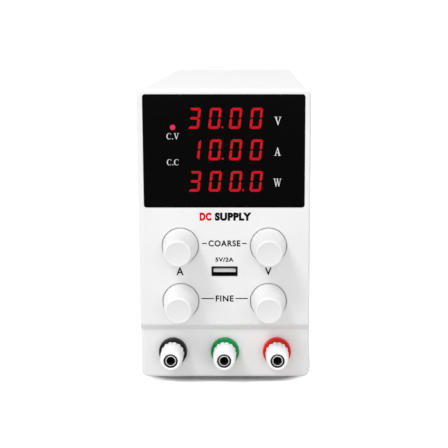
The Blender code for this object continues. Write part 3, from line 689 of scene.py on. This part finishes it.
def plain_text(name, text, cap, x, z, width, look, weight):
    """Sans letters on the panel, by cap height and whole width, centred at (x, z). Weight thickens them."""
    curve = bpy.data.curves.new(name, "FONT")
    curve.body = text
    curve.align_x = "CENTER"
    curve.size = cap / CAPITAL
    curve.offset = weight
    curve.space_character = LETTER_SPACING
    curve.resolution_u = 6
    obj = curve_plate(name, curve, FACE, look)
    xs = [v.co.x for v in obj.data.vertices]
    zs = [v.co.z for v in obj.data.vertices]
    middle = Vector(((max(xs) + min(xs)) / 2, 0, (max(zs) + min(zs)) / 2))
    scale = Matrix.Diagonal((width / (max(xs) - min(xs)), 1, cap / (max(zs) - min(zs)), 1))
    obj.data.transform(Matrix.Translation((x, 0, z)) @ scale @ Matrix.Translation(-middle))
    wear(obj, "case")


def printed_marks():
    units = (
        ("volts", "V", 3.3 * MM, 1.2 * MM),
        ("amps", "A", 3.0 * MM, 0.85 * MM),
        ("watts", "W", 2.85 * MM, 0.6 * MM),
    )
    for name, letter, wide, drop in units:
        z = middle_of(f"{name}_display")[1] - drop
        serif_text(f"{name}_mark", letter, 3.85 * MM, wide, UNIT_X, z)
    for name, text in (("cv", "C.V"), ("cc", "C.C")):
        z = middle_of(f"{name}_led")[1] - 4.15 * MM
        serif_text(f"{name}_mark", text, 2.85 * MM, 2.45 * MM, LAMP_X, z)
    coarse, fine = KNOBS["voltage_coarse"][1] + 1.2 * MM, KNOBS["voltage_fine"][1] + 1.3 * MM
    outlet = middle_of("usb_shell")[1] + 5.8 * MM
    thin, heavy = 0.11 * MM, 0.38 * MM
    labels = (
        ("type_label_start", "DC", 4.0 * MM, -8.9 * MM, TYPE_LABEL_Z, 5.6 * MM, "ink_red", heavy),
        ("type_label_end", "SUPPLY", 4.0 * MM, 4.2 * MM, TYPE_LABEL_Z, 17.4 * MM, "ink", heavy),
        ("coarse_label", "COARSE", 3.0 * MM, 0, coarse, 15.2 * MM, "ink", thin),
        ("fine_label", "FINE", 3.0 * MM, 0, fine, 8.6 * MM, "ink", thin),
        ("outlet_label", "5V/2A", 2.1 * MM, 0, outlet, 8.6 * MM, "ink", 0.85 * thin),
        ("current_label", "A", 3.8 * MM, -21.3 * MM, SIDE_LABEL_Z, 3.4 * MM, "ink", thin),
        ("voltage_label", "V", 3.8 * MM, 20.9 * MM, SIDE_LABEL_Z, 3.2 * MM, "ink", thin),
    )
    for label in labels:
        plain_text(*label)
    dashes, half = [], 0.23 * MM
    for z, start, end in ((coarse, 8.4 * MM, 10.6 * MM), (fine, 5.2 * MM, 11.1 * MM)):
        dashes += [rectangle(-end, z - half, -start, z + half), rectangle(start, z - half, end, z + half)]
    wear(slab("label_lines", dashes, FACE, "ink"), "case")


# ---- knobs and outlet -----------------------------------------------------------------------------------
def knobs():
    """Tapered grips with a rounded shoulder and a shallow dish in front, their rears sunk in the panel."""
    bore = 3.2 * MM
    for name, axis in KNOBS.items():
        _, width, _, front, back = front_view(f"{name}_knob")
        base = width / 2
        profile = [(bore, back), (base - 0.2 * MM, back), (base, back - 0.2 * MM)]
        profile += [(base - 0.12 * MM, FACE - MM), (6.5 * MM, front + 1.8 * MM)]
        profile += [(6.2 * MM, front + 0.45 * MM), (5.7 * MM, front + 0.01 * MM)]
        profile += [(5.25 * MM, front + 0.16 * MM), (3.6 * MM, front + 0.42 * MM), (0, front + 0.5 * MM)]
        outer = soft_corners(profile, 0.9 * MM, 6)
        outer += [(0, front + 3.3 * MM), (bore, front + 3.3 * MM)]
        knob = turned(f"{name}_grip", outer, axis, "knob", 128, looped=True)
        # painted shade: the front disc is painted a darker white for the shade it takes
        paint(knob, "shaded_knob_front", axis, 5.45 * MM, high=front + MM)
        wear(knob, f"{name}_control", "knob_plastic", f"{name}_knob")


def usb_outlet():
    middle, width, height, front, back = front_view("usb_shell")
    wall = 0.35 * MM
    # painted shade: the shell is dark partly for the shade inside the port
    shell = plate("outlet_shell", "usb_shell", 0.45 * MM, 4, "shell")
    cut_slot(shell, (width - 2 * wall, height - 2 * wall), 0.3 * MM, 4, middle, front - MM, back - MM)
    wear(soften(shell, 0.08 * MM), "case", "usb_metal", "usb_shell")
    tongue = plate("outlet_tongue", "usb_tongue", 0.3 * MM, 4, "tongue")
    wear(soften(tongue, 0.1 * MM), "case", "usb_tongue_plastic", "usb_tongue")
    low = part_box("usb_tongue")[0]
    contacts, pitch, half = 4, 2.3 * MM, 0.5 * MM
    for i in range(contacts):
        x = (i - (contacts - 1) / 2) * pitch
        outline = rectangle(x - half, low.z - 0.12 * MM, x + half, low.z + 0.1 * MM)
        strip = sweep(f"outlet_contact_{i + 1}", outline, "Y", low.y + MM, low.y + 9 * MM, "brass")
        wear(strip, "case", "usb_metal")


# ---- posts ----------------------------------------------------------------------------------------------
CAP_FLUTES = 14
FLUTE_DEPTH = 0.45 * MM
TUBE, TUBE_BORE, TUBE_LIP = 3 * MM, 2.05 * MM, 2.58 * MM
THREAD_PITCH = 0.8 * MM
THREAD_DEPTH = 0.3 * MM
POST_BORE = 3.15 * MM  # in the base and in the insert, round the tube
CAP_MOUTH = 3.3 * MM


def post_base(colour, axis):
    _, width, _, front, back = front_view(f"{colour}_post_base")
    radius, sleeve, seat = width / 2, 3.9 * MM, front + 3 * MM
    profile = [(POST_BORE, front), (radius - 0.15 * MM, front), (radius, front + 0.9 * MM), (radius, seat)]
    profile += [(sleeve, seat), (sleeve, back), (POST_BORE, back)]
    outer = soft_corners(profile, 0.5 * MM, 5, closed=True)
    base = turned(f"{colour}_base", outer, axis, f"base_{colour}", looped=True)
    wear(base, "case", f"base_{colour}", f"{colour}_post_base")
    return front


def post_tube(colour, axis, seat_front):
    """The fixed socket: a plug bore whose inside is painted near-black as painted shade, a thread, and a
    cross hole for bare wire.
    """
    *_, front, back = front_view(f"{colour}_post_stud")
    deep = front + 21 * MM
    profile = [(TUBE_BORE + 0.05 * MM, front), (TUBE_LIP - 0.12 * MM, front), (TUBE_LIP, front + 0.12 * MM)]
    profile += [(TUBE_LIP, front + 1.6 * MM), (TUBE, front + 2.2 * MM)]
    start, end = front + 3.5 * MM, seat_front - 0.2 * MM
    for k in range(int((end - start) / THREAD_PITCH)):
        y = start + THREAD_PITCH * k
        profile += [(TUBE, y), (TUBE - THREAD_DEPTH, y + THREAD_PITCH / 2)]
    profile += [(TUBE, end), (TUBE, back), (0, back), (0, deep), (TUBE_BORE, deep)]
    profile += [(TUBE_BORE, front + 0.05 * MM)]
    stud = turned(f"{colour}_tube", profile, axis, "tube", 64, looped=True)
    hole = circle((seat_front - 1.7 * MM, axis[1]), 1.1 * MM, 24)
    cut(stud, sweep("wire_hole", hole, "X", axis[0] - 5 * MM, axis[0] + 5 * MM, None))
    # painted shade: the bore's inside is painted near-black for the shade in it
    paint(stud, "dark", axis, TUBE_BORE + 0.04 * MM, low=front + 0.01 * MM)
    wear(stud, "case", "post_nickel", f"{colour}_post_stud")


def post_insert(colour, axis):
    """The brass nut inside the cap."""
    *_, front, back = front_view(f"{colour}_post_insert")
    radius, edge = 4 * MM, 0.2 * MM
    profile = [(POST_BORE, front), (radius - edge, front), (radius, front + edge), (radius, back - edge)]
    profile += [(radius - edge, back), (POST_BORE, back)]
    insert = turned(f"{colour}_insert", profile, axis, "brass", 64, looped=True)
    wear(insert, f"{colour}_post_thread", "insert_brass", f"{colour}_post_insert")
    return front


def post_cap(colour, axis, insert_front):
    """The white screw cap, smooth in front and scalloped towards its rear edge."""
    _, width, _, front, back = front_view(f"{colour}_post_cap")
    wide = width / 2
    socket, socket_front = 4.15 * MM, insert_front - 0.15 * MM
    smooth = [(CAP_MOUTH, 0.5), (3.45 * MM, 0.15), (3.75 * MM, 0), (4.1 * MM, 0.04), (4.6 * MM, 0.4)]
    smooth += [(4.95 * MM, 1.1), (5.15 * MM, 2.2), (5.3 * MM, 3.6), (5.4 * MM, 5), (5.47 * MM, 6.8)]
    scalloped = [(5.51 * MM, 7.7), (5.54 * MM, 8.5), (5.57 * MM, 9.2)]
    profile = [(radius, front + depth * MM) for radius, depth in smooth + scalloped]
    profile += [(wide, back - 0.9 * MM), (wide, back - 0.3 * MM), (wide - 0.25 * MM, back)]
    profile += [(socket, back), (socket, socket_front), (CAP_MOUTH, socket_front)]
    first = len(smooth) - 1

    def fluted(radius, k, turn):
        if k < first or radius < 5 * MM:
            return radius
        share = min(1, (k - first) / 4)
        return radius - FLUTE_DEPTH * share * (1 - abs(math.cos(turn * CAP_FLUTES / 2)))

    cap = turned(f"{colour}_cap", profile, axis, "cap", CAP_FLUTES * 10, looped=True, radius_at=fluted)
    # painted shade: the cap's mouth is painted near-black for the shade in it
    paint(cap, "dark", axis, CAP_MOUTH + 0.02 * MM)
    wear(cap, f"{colour}_post_grip", "cap_plastic", f"{colour}_post_cap")


def posts():
    for colour, axis in POSTS.items():
        seat_front = post_base(colour, axis)
        post_tube(colour, axis, seat_front)
        post_cap(colour, axis, post_insert(colour, axis))


# ---- case -----------------------------------------------------------------------------------------------
SHEET = 1 * MM


def bent_sheet(name, node, rim, fold, bend, steps):
    """A painted channel as long as its node: walls from height rim to the fold, and the web between them."""
    low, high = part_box(node)
    way = 1 if fold > rim else -1
    corner = (high.x - bend, fold - way * bend)
    outer, inner = (
        [(high.x - inset, rim)] + arc(corner, bend - inset, 0, 90 * way, steps) for inset in (0, SHEET)
    )
    outline = outer + [(-x, z) for x, z in reversed(outer)]
    outline += [(-x, z) for x, z in inner] + inner[::-1]
    return sweep(name, outline, "Y", low.y, high.y, "paint")


def cut_screw_holes(sheet):
    for end in ("front", "rear"):
        at = centre(f"cover_screw_{end}_left")
        cut_sideways(sheet, circle((at.y, at.z), 1.7 * MM, 36))


def cover():
    low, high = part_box("case_cover")
    shell = bent_sheet("cover_sheet", "case_cover", low.z, high.z, 3 * MM, 10)
    first, pitch, count = FACE + 84 * MM, 7 * MM, 10
    for z in (108 * MM, 34 * MM):
        for i in range(count):
            cut_sideways(shell, rounded(3 * MM, 26 * MM, 1.49 * MM, 6, (first + pitch * i, z)))
    cut_screw_holes(shell)
    wear(soften(shell, 0.2 * MM, 2, 50), "case", "white_paint", "case_cover")


def chassis():
    low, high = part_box("base_chassis")
    tray = bent_sheet("chassis_tray", "base_chassis", high.z, low.z, 1.6 * MM, 6)
    cut_screw_holes(tray)
    wear(soften(tray, 0.15 * MM, 2, 50), "case", "chassis_zinc", "base_chassis")
    for end in ("front", "rear"):
        for side in ("left", "right"):
            foot(f"foot_{end}_{side}")
            cover_screw(f"cover_screw_{end}_{side}", -1 if side == "left" else 1)


def foot(node):
    """A rubber foot, hollow underneath round its fixing."""
    low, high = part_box(node)
    at = (low + high) / 2
    radius, tall = (high.x - low.x) / 2, high.z - low.z
    profile = [(0, 1.3 * MM), (2.4 * MM, 1.3 * MM), (2.8 * MM, 0), (radius - 0.9 * MM, 0)]
    profile += [(radius - 0.35 * MM, 0.5 * MM), (radius, tall - 0.3 * MM), (radius, tall), (0, tall)]
    made = turned(f"rubber_{node}", soft_corners(profile, 0.35 * MM), (0, 0), "rubber", 72)
    made.data.transform(Matrix.Translation((at.x, at.y, low.z)) @ Y_TO_Z)
    wear(made, "case", "foot_rubber", node)


def cross_recess(radius, top, depth):
    """A cutter for a cross-head screw that faces up: two crossed bars that taper downwards from top."""
    arms = []
    for turn in (0, 90):
        spin = Matrix.Rotation(math.radians(turn), 3, "Z")
        rings = []
        for z, share in ((top, 1.0), (top - depth, 0.55)):
            wide, thick = radius * share, 0.28 * radius * share
            rings.append([spin @ Vector((*corner, z)) for corner in rectangle(-wide, -thick, wide, thick)])
        arms.append(loft("recess", rings, None))
    join(*arms)
    return arms[0]


def pan_head(name, top, outward, head, tall, shank, long):
    """A cross-head screw with its head's outer end at top, facing along outward."""
    profile = [(0, 0), (0.5 * head, -0.06 * tall), (0.82 * head, -0.3 * tall), (head, -0.75 * tall)]
    profile += [(head, -tall), (shank, -tall), (shank, -tall - long), (0, -tall - long)]
    screw = turned(name, soft_corners(profile, 0.3 * MM, 3), (0, 0), "bright", 48)
    screw.data.transform(Y_TO_Z)
    cut(screw, cross_recess(0.62 * head, 0.2 * MM, 1.1 * MM))
    screw.data.transform(Matrix.Translation(top) @ outward.to_track_quat("Z", "Y").to_matrix().to_4x4())
    return screw


def cover_screw(node, side):
    low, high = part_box(node)
    at = (low + high) / 2
    top = Vector((low.x if side < 0 else high.x, at.y, at.z))
    head = pan_head(f"head_{node}", top, Vector((side, 0, 0)), 2.7 * MM, 1.5 * MM, 1.4 * MM, 6 * MM)
    wear(head, "case", "screw_nickel", node)


# ---- rear and fan ---------------------------------------------------------------------------------------
FAN_DUCT = 28.2 * MM
FAN_SCREW = 25 * MM  # from the fan's axis, both ways
FAN_SCREW_HOLE = 2.2 * MM
FAN_BLADES = 7
FITTING_GAP = 0.15 * MM  # between the rear panel and the fittings' flanges


def fan_corners():
    """The four screw places round the fan."""
    x, z = middle_of("fan_frame")
    return [(x + sx * FAN_SCREW, z + sz * FAN_SCREW) for sx, sz in ((1, 1), (-1, 1), (-1, -1), (1, -1))]


def cut_fan_holes(obj, low, high):
    drill(obj, FAN_DUCT, middle_of("fan_frame"), low, high, 96)
    for corner in sorted(fan_corners()):
        drill(obj, FAN_SCREW_HOLE, corner, low, high, 32)


def rear_panel():
    sheet = plate("rear_sheet", "rear_panel", 2 * MM, 6, "paint")
    *_, front, back = front_view("rear_panel")
    front, back = front - MM, back + MM
    cut_fan_holes(sheet, front, back)
    cut_slot(sheet, (27.4 * MM, 20.4 * MM), 0.2 * MM, 3, middle_of("inlet_housing"), front, back)
    cut_slot(sheet, (13.4 * MM, 20.8 * MM), 0.2 * MM, 3, middle_of("switch_frame"), front, back)
    cut_slot(sheet, (15 * MM, 7.4 * MM), 0.2 * MM, 3, middle_of("selector_housing"), front, back)
    wear(soften(sheet, 0.12 * MM, 2, 50), "case", "white_paint", "rear_panel")


def fan_housing():
    axis, width, height, front, back = front_view("fan_frame")
    edges = (0.3 * MM, 0.3 * MM)
    housing = edged("fan_housing", (width, height), 3 * MM, 6, axis, (front, back), edges, "black", 2)
    cut_fan_holes(housing, front - MM, back + MM)
    reach, half = FAN_DUCT + MM, 2 * MM
    for size in ((2 * reach, 2 * half), (2 * half, 2 * reach)):
        join(housing, sweep("spoke", rounded(*size, 0.3 * MM, 2, axis), "Y", front, front + 2.6 * MM, None))
    join(housing, cylinder(12 * MM, front, front + 3 * MM, axis))
    wear(housing, "case", "fan_plastic", "fan_frame")


def fan_blade(start, axis, middle):
    """A blade with a curved section, thickest in the middle, that leans forward towards its tip."""
    inner, outer, spans, chord_steps = 11.6 * MM, 27.0 * MM, 8, 8
    pitch = math.radians(38)
    rings = []
    for k in range(spans + 1):
        share = k / spans
        radius = inner + (outer - inner) * share
        tilt = pitch * (1.12 - 0.3 * share)
        half_angle = (8.2 + 0.4 * share) * MM / radius * (1.0 if share < 0.9 else 0.94)
        lean = start + 0.22 * share
        top_side, under_side = [], []
        for c in range(chord_steps + 1):
            s = 2 * c / chord_steps - 1
            turn = lean + half_angle * s * math.cos(tilt)
            y = middle + 6.1 * MM * s * math.sin(tilt) / math.sin(pitch) + 1.2 * MM * (1 - s * s)
            thick = 0.75 * MM * (1 - 0.75 * s * s)
            x, z = axis[0] + radius * math.cos(turn), axis[1] + radius * math.sin(turn)
            top_side.append((x, y + thick, z))
            under_side.append((x, y - thick, z))
        rings.append(top_side + under_side[::-1])
    return loft("blade", rings, None)


def fan_rotor():
    axis, _, _, front, back = front_view("fan_frame")
    hub_front, hub_rear, hub = front + 3.4 * MM, back - 4.4 * MM, 12.5 * MM
    profile = [(0, hub_front), (hub, hub_front), (hub, hub_rear), (0, hub_rear)]
    rotor = turned("rotor", soft_corners(profile, 1.4 * MM, 5), axis, "black")
    for blade in range(FAN_BLADES):
        join(rotor, fan_blade(2 * math.pi * blade / FAN_BLADES, axis, (hub_front + hub_rear) / 2))
    wear(rotor, "rotor", "fan_plastic", "fan_rotor")


def fan_guard():
    """Six wire rings on two crossed wires, which end in an eye round each screw."""
    axis = middle_of("fan_frame")
    wire, ring_count = 0.75 * MM, 6
    bar_y, ring_y = REAR + 0.3 * MM + wire, REAR + 0.3 * MM + 2.4 * wire
    rings = []
    for i in range(ring_count):
        profile = circle((5.5 * MM + 4.6 * MM * i, ring_y), wire, 12)
        rings.append(turned("guard_wires", profile, axis, "bright", 48 + 12 * i, looped=True))
    guard = rings[0]
    join(guard, *rings[1:])
    reach = FAN_SCREW * math.sqrt(2)
    for turn in (45, 135):
        bar = sweep("bar", circle((0, 0), wire, 12), "X", -reach, reach, "bright")
        spin = Matrix.Rotation(math.radians(turn), 4, "Y")
        bar.data.transform(Matrix.Translation((axis[0], bar_y, axis[1])) @ spin)
        join(guard, bar)
    section = rectangle(1.9 * MM, bar_y - wire, 3.6 * MM, bar_y + wire)
    section = soft_corners(section, 0.4 * MM, 3, closed=True)
    for corner in fan_corners():
        join(guard, turned("eye", section, corner, "bright", 40, looped=True))
    wear(guard, "case", "guard_wire", "fan_guard")


def fan_screws():
    for k, (x, z) in enumerate(fan_corners()):
        top = Vector((x, REAR + 3.6 * MM, z))
        screw = pan_head(f"fan_screw_{k + 1}", top, Vector((0, 1, 0)), 3 * MM, 1.6 * MM, 1.6 * MM, 8 * MM)
        wear(screw, "case", "screw_nickel")


# ---- rear fittings --------------------------------------------------------------------------------------
def flanged(name, node, radius, corner_steps, body_size, body_radius, body_steps):
    """A fitting's flange outside the rear panel, and the body that it holds in the case."""
    middle, width, height, front, back = front_view(node)
    face = REAR + FITTING_GAP
    edges = (0.05 * MM, 0.6 * MM)
    made = edged(name, (width, height), radius, corner_steps, middle, (face, back), edges, "black")
    body = rounded(*body_size, body_radius, body_steps, middle)
    join(made, sweep("body", body, "Y", front, face + MM, None))
    return made


def mains_inlet():
    housing = flanged("inlet_shell", "inlet_housing", 2.5 * MM, 6, (26.8 * MM, 19.8 * MM), 0.8 * MM, 3)
    (x, z), _, _, front, back = front_view("inlet_housing")
    half, tall, bevel = 12.1 * MM, 8.2 * MM, 4 * MM
    socket = [(-half, -tall), (half, -tall), (half, tall - bevel), (half - bevel, tall)]
    socket += [(bevel - half, tall), (-half, tall - bevel)]
    socket = [(x + px, z + pz) for px, pz in soft_corners(socket, 1.2 * MM, closed=True)]
    floor = front + 3.5 * MM
    cut(housing, sweep("socket", socket, "Y", floor, back + MM, None))
    for name in ("line", "neutral", "earth"):
        node = f"inlet_{name}_pin"
        at, width, height = front_view(node)[:3]
        size = (width + FIT_GAP, height + FIT_GAP)
        cut_slot(housing, size, 0.1 * MM, 2, at, front - MM, floor + MM)
        pin = plate(f"{name}_blade", node, 0.25 * MM, 3, "bright")
        wear(soften(pin, 0.45 * MM, 3, 60), "case", "pin_nickel", node)
    wear(soften(housing, 0.12 * MM, 2, 50), "case", "inlet_plastic", "inlet_housing")


def power_switch():
    bezel = flanged("switch_bezel", "switch_frame", 1.6 * MM, 5, (13 * MM, 20.4 * MM), 0.3 * MM, 2)
    (x, z), *_, lip = front_view("switch_frame")
    face = REAR + FITTING_GAP
    cut_slot(bezel, (11.4 * MM, 18.6 * MM), 0.5 * MM, 4, (x, z), face - 9 * MM, lip + MM)
    wear(soften(bezel, 0.12 * MM, 2, 50), "case", "switch_plastic", "switch_frame")
    rocker(Matrix.Translation((x, face - 3 * MM, z)) @ Matrix.Rotation(math.radians(10), 4, "X"))


def rocker(tilted):
    """The rocker with its upper end, which bears the bar, pressed in."""
    half, end, waist = 8 * MM, 6.05 * MM, 4.9 * MM

    def surface(z):
        return waist + (end - waist) * (z / half) ** 2

    outline = [(-4.4 * MM, -5 * MM), (-4.4 * MM, 5 * MM), (1.5 * MM, half)]
    outline += [(surface(z), z) for z in (half * (1 - k / 6) for k in range(13))]
    outline += [(1.5 * MM, -half)]
    made = sweep("rocker", outline, "X", -5.4 * MM, 5.4 * MM, "black")
    made.data.transform(tilted)
    wear(soften(made, 0.45 * MM, 3, 60), "rocker", "switch_plastic", "switch_rocker")
    marks = (
        ("on_mark", 4.4 * MM, [rounded(0.7 * MM, 3.2 * MM, 0.3 * MM, 4)]),
        ("off_mark", -4.4 * MM, [circle((0, 0), radius, 36) for radius in (1.6 * MM, 1.05 * MM)]),
    )
    for name, z, outlines in marks:
        mark = outline_mesh(name, outlines, 0, "ink_white")
        lean = math.atan2(2 * (end - waist) * z / half, half)
        lie = Matrix.Translation((0, surface(z), z)) @ Matrix.Rotation(-lean, 4, "X")
        mark.data.transform(tilted @ lie @ Matrix.Rotation(math.pi, 4, "Z"))
        wear(mark, "rocker")


def voltage_selector():
    housing = plate("selector_body", "selector_housing", 0.6 * MM, 4, "black")
    middle, *_, back = front_view("selector_housing")
    cut_slot(housing, (14.4 * MM, 6.8 * MM), 0.2 * MM, 3, middle, back - 5 * MM, back + MM)
    wear(soften(housing, 0.1 * MM, 2, 50), "case", "selector_plastic", "selector_housing")
    slider = plate("selector_knob", "selector_slider", 0.4 * MM, 4, "red")
    middle, *_, back = front_view("selector_slider")
    cut_slot(slider, (MM, 4.8 * MM), 0.3 * MM, 3, middle, back - 1.1 * MM, back + MM)
    wear(soften(slider, 0.12 * MM, 2, 50), "selector", "selector_red", "selector_slider")


# ---- inside ---------------------------------------------------------------------------------------------
def inner_pieces():
    """The pieces that keep their CAD shape get only their materials."""
    looks = {
        "board": ["front_board", "main_board"],
        "ferrite": ["transformer"],
        "aluminium": ["heatsink"] + [f"{name}_shaft" for name in KNOBS],
        "sleeve": ["input_capacitor"],
        "steel": [f"{name}_pot" for name in KNOBS],
        "black": ["volts_display", "amps_display", "watts_display"],
        "lamp": ["cv_led"],
        "lamp_off": ["cc_led"],
    }
    for look, nodes in looks.items():
        for node in nodes:
            mesh = frame["nodes"][node].data
            mesh.materials.clear()
            mesh.materials.append(LOOK[look])


def shade_card():
    """A dark upright card down the middle of the case, painted shade that stands for the dark inside seen
    through the vents, so that they don't show daylight.
    """
    x, thick = -12 * MM, 0.8 * MM
    low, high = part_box("main_board")[1].z + 0.5 * MM, TOP - 5 * MM
    middle = (FACE + 118 * MM, (low + high) / 2)
    outline = rounded(100 * MM, high - low, 3 * MM, 4, middle)
    wear(sweep("shade_card", outline, "X", x, x + thick, "card"), "case")


# ---- studio ---------------------------------------------------------------------------------------------
def camera_split(tree, other, seen):
    """Mixes two shaders: the second is what the camera sees, the first is what lights the object."""
    path = tree.nodes.new("ShaderNodeLightPath")
    mix = tree.nodes.new("ShaderNodeMixShader")
    tree.links.new(path.outputs["Is Camera Ray"], mix.inputs[0])
    tree.links.new(other, mix.inputs[1])
    tree.links.new(seen, mix.inputs[2])
    return mix.outputs[0]


def diffuse(tree, grey):
    made = tree.nodes.new("ShaderNodeBsdfDiffuse")
    made.inputs["Color"].default_value = (grey, grey, grey, 1)
    return made.outputs[0]


def glow_strength(tree):
    """How strongly the floor glows: not at all under the object, and fully a little way from it."""
    last = tree.nodes.new("ShaderNodeNewGeometry").outputs["Position"]
    low, high = cad_box
    middle = [(low[0] + high[0]) / 2, (FACE + REAR) / 2, 0]
    sides = ((high[0] - low[0]) / 2, (REAR - FACE) / 2)
    half = [side - inset - FLOOR_CORNER for side, inset in zip(sides, FLOOR_INSET)] + [1]
    steps = (("SUBTRACT", middle), ("ABSOLUTE", None), ("SUBTRACT", half), ("MAXIMUM", (0, 0, 0)))
    for operation, value in steps:
        step = tree.nodes.new("ShaderNodeVectorMath")
        step.operation = operation
        tree.links.new(last, step.inputs[0])
        if value:
            step.inputs[1].default_value = value
        last = step.outputs[0]
    length = tree.nodes.new("ShaderNodeVectorMath")
    length.operation = "LENGTH"
    tree.links.new(last, length.inputs[0])
    grow = tree.nodes.new("ShaderNodeMapRange")
    grow.interpolation_type = "SMOOTHSTEP"
    grow.inputs["From Min"].default_value = FLOOR_CORNER
    grow.inputs["From Max"].default_value = FLOOR_CORNER + FLOOR_GLOW_END
    grow.inputs["To Max"].default_value = FLOOR_GLOW
    tree.links.new(length.outputs["Value"], grow.inputs["Value"])
    return grow.outputs[0]


def floor_material():
    """A pale sweep that is fully white a little way from the object and keeps the shadow under it."""
    made = bpy.data.materials.new("floor_white")
    made.use_nodes = True
    tree = made.node_tree
    tree.nodes.clear()
    glow = tree.nodes.new("ShaderNodeEmission")
    tree.links.new(glow_strength(tree), glow.inputs["Strength"])
    both = tree.nodes.new("ShaderNodeAddShader")
    tree.links.new(diffuse(tree, FLOOR_WHITE), both.inputs[0])
    tree.links.new(glow.outputs[0], both.inputs[1])
    out = tree.nodes.new("ShaderNodeOutputMaterial")
    tree.links.new(camera_split(tree, diffuse(tree, FLOOR_BOUNCE), both.outputs[0]), out.inputs["Surface"])
    return made


def world(scene):
    """An even white surrounding."""
    made = bpy.data.worlds.new("studio")
    scene.world = made
    made.use_nodes = True
    tree = made.node_tree
    back = tree.nodes["Background"]
    seen = tree.nodes.new("ShaderNodeBackground")
    for node, strength in ((back, AMBIENT), (seen, BACKDROP)):
        node.inputs["Color"].default_value = (1, 1, 1, 1)
        node.inputs["Strength"].default_value = strength
    surface = tree.nodes["World Output"].inputs["Surface"]
    tree.links.new(camera_split(tree, back.outputs[0], seen.outputs[0]), surface)


def studio():
    scene = bpy.context.scene
    scene.view_settings.view_transform = "Standard"
    outline = rectangle(-FLOOR_HALF, -FLOOR_HALF, FLOOR_HALF, FLOOR_HALF)
    floor = sweep("floor", outline, "Z", -0.02, -0.0001, None)
    floor.data.materials.append(floor_material())
    world(scene)
    for name, at, size, power in LAMPS:
        data = bpy.data.lights.new(name, "AREA")
        data.shape = "DISK"
        data.size = size
        data.energy = power
        lamp = add_object(name, data)
        lamp.location = LAMP_TARGET + Vector(at)
        lamp.rotation_euler = (-Vector(at)).to_track_quat("-Z", "Y").to_euler()


def camera():
    """The eye stands in front, a little to the right and above the top, and looks down at the panel."""
    data = bpy.data.cameras.new("camera")
    data.sensor_width = 36
    data.lens = CAMERA_LENS
    data.shift_x, data.shift_y = CAMERA_SHIFT
    eye = add_object("camera", data)
    eye.location = (CAMERA_AT[0], FACE + CAMERA_AT[1], CAMERA_AT[2])
    eye.rotation_euler = (math.radians(90 - CAMERA_DOWN), 0, 0)
    bpy.context.scene.camera = eye


def main():
    front_panel()
    display()
    printed_marks()
    knobs()
    usb_outlet()
    posts()
    cover()
    chassis()
    rear_panel()
    fan_housing()
    fan_rotor()
    fan_guard()
    fan_screws()
    mains_inlet()
    power_switch()
    voltage_selector()
    inner_pieces()
    shade_card()
    studio()
    camera()


main()
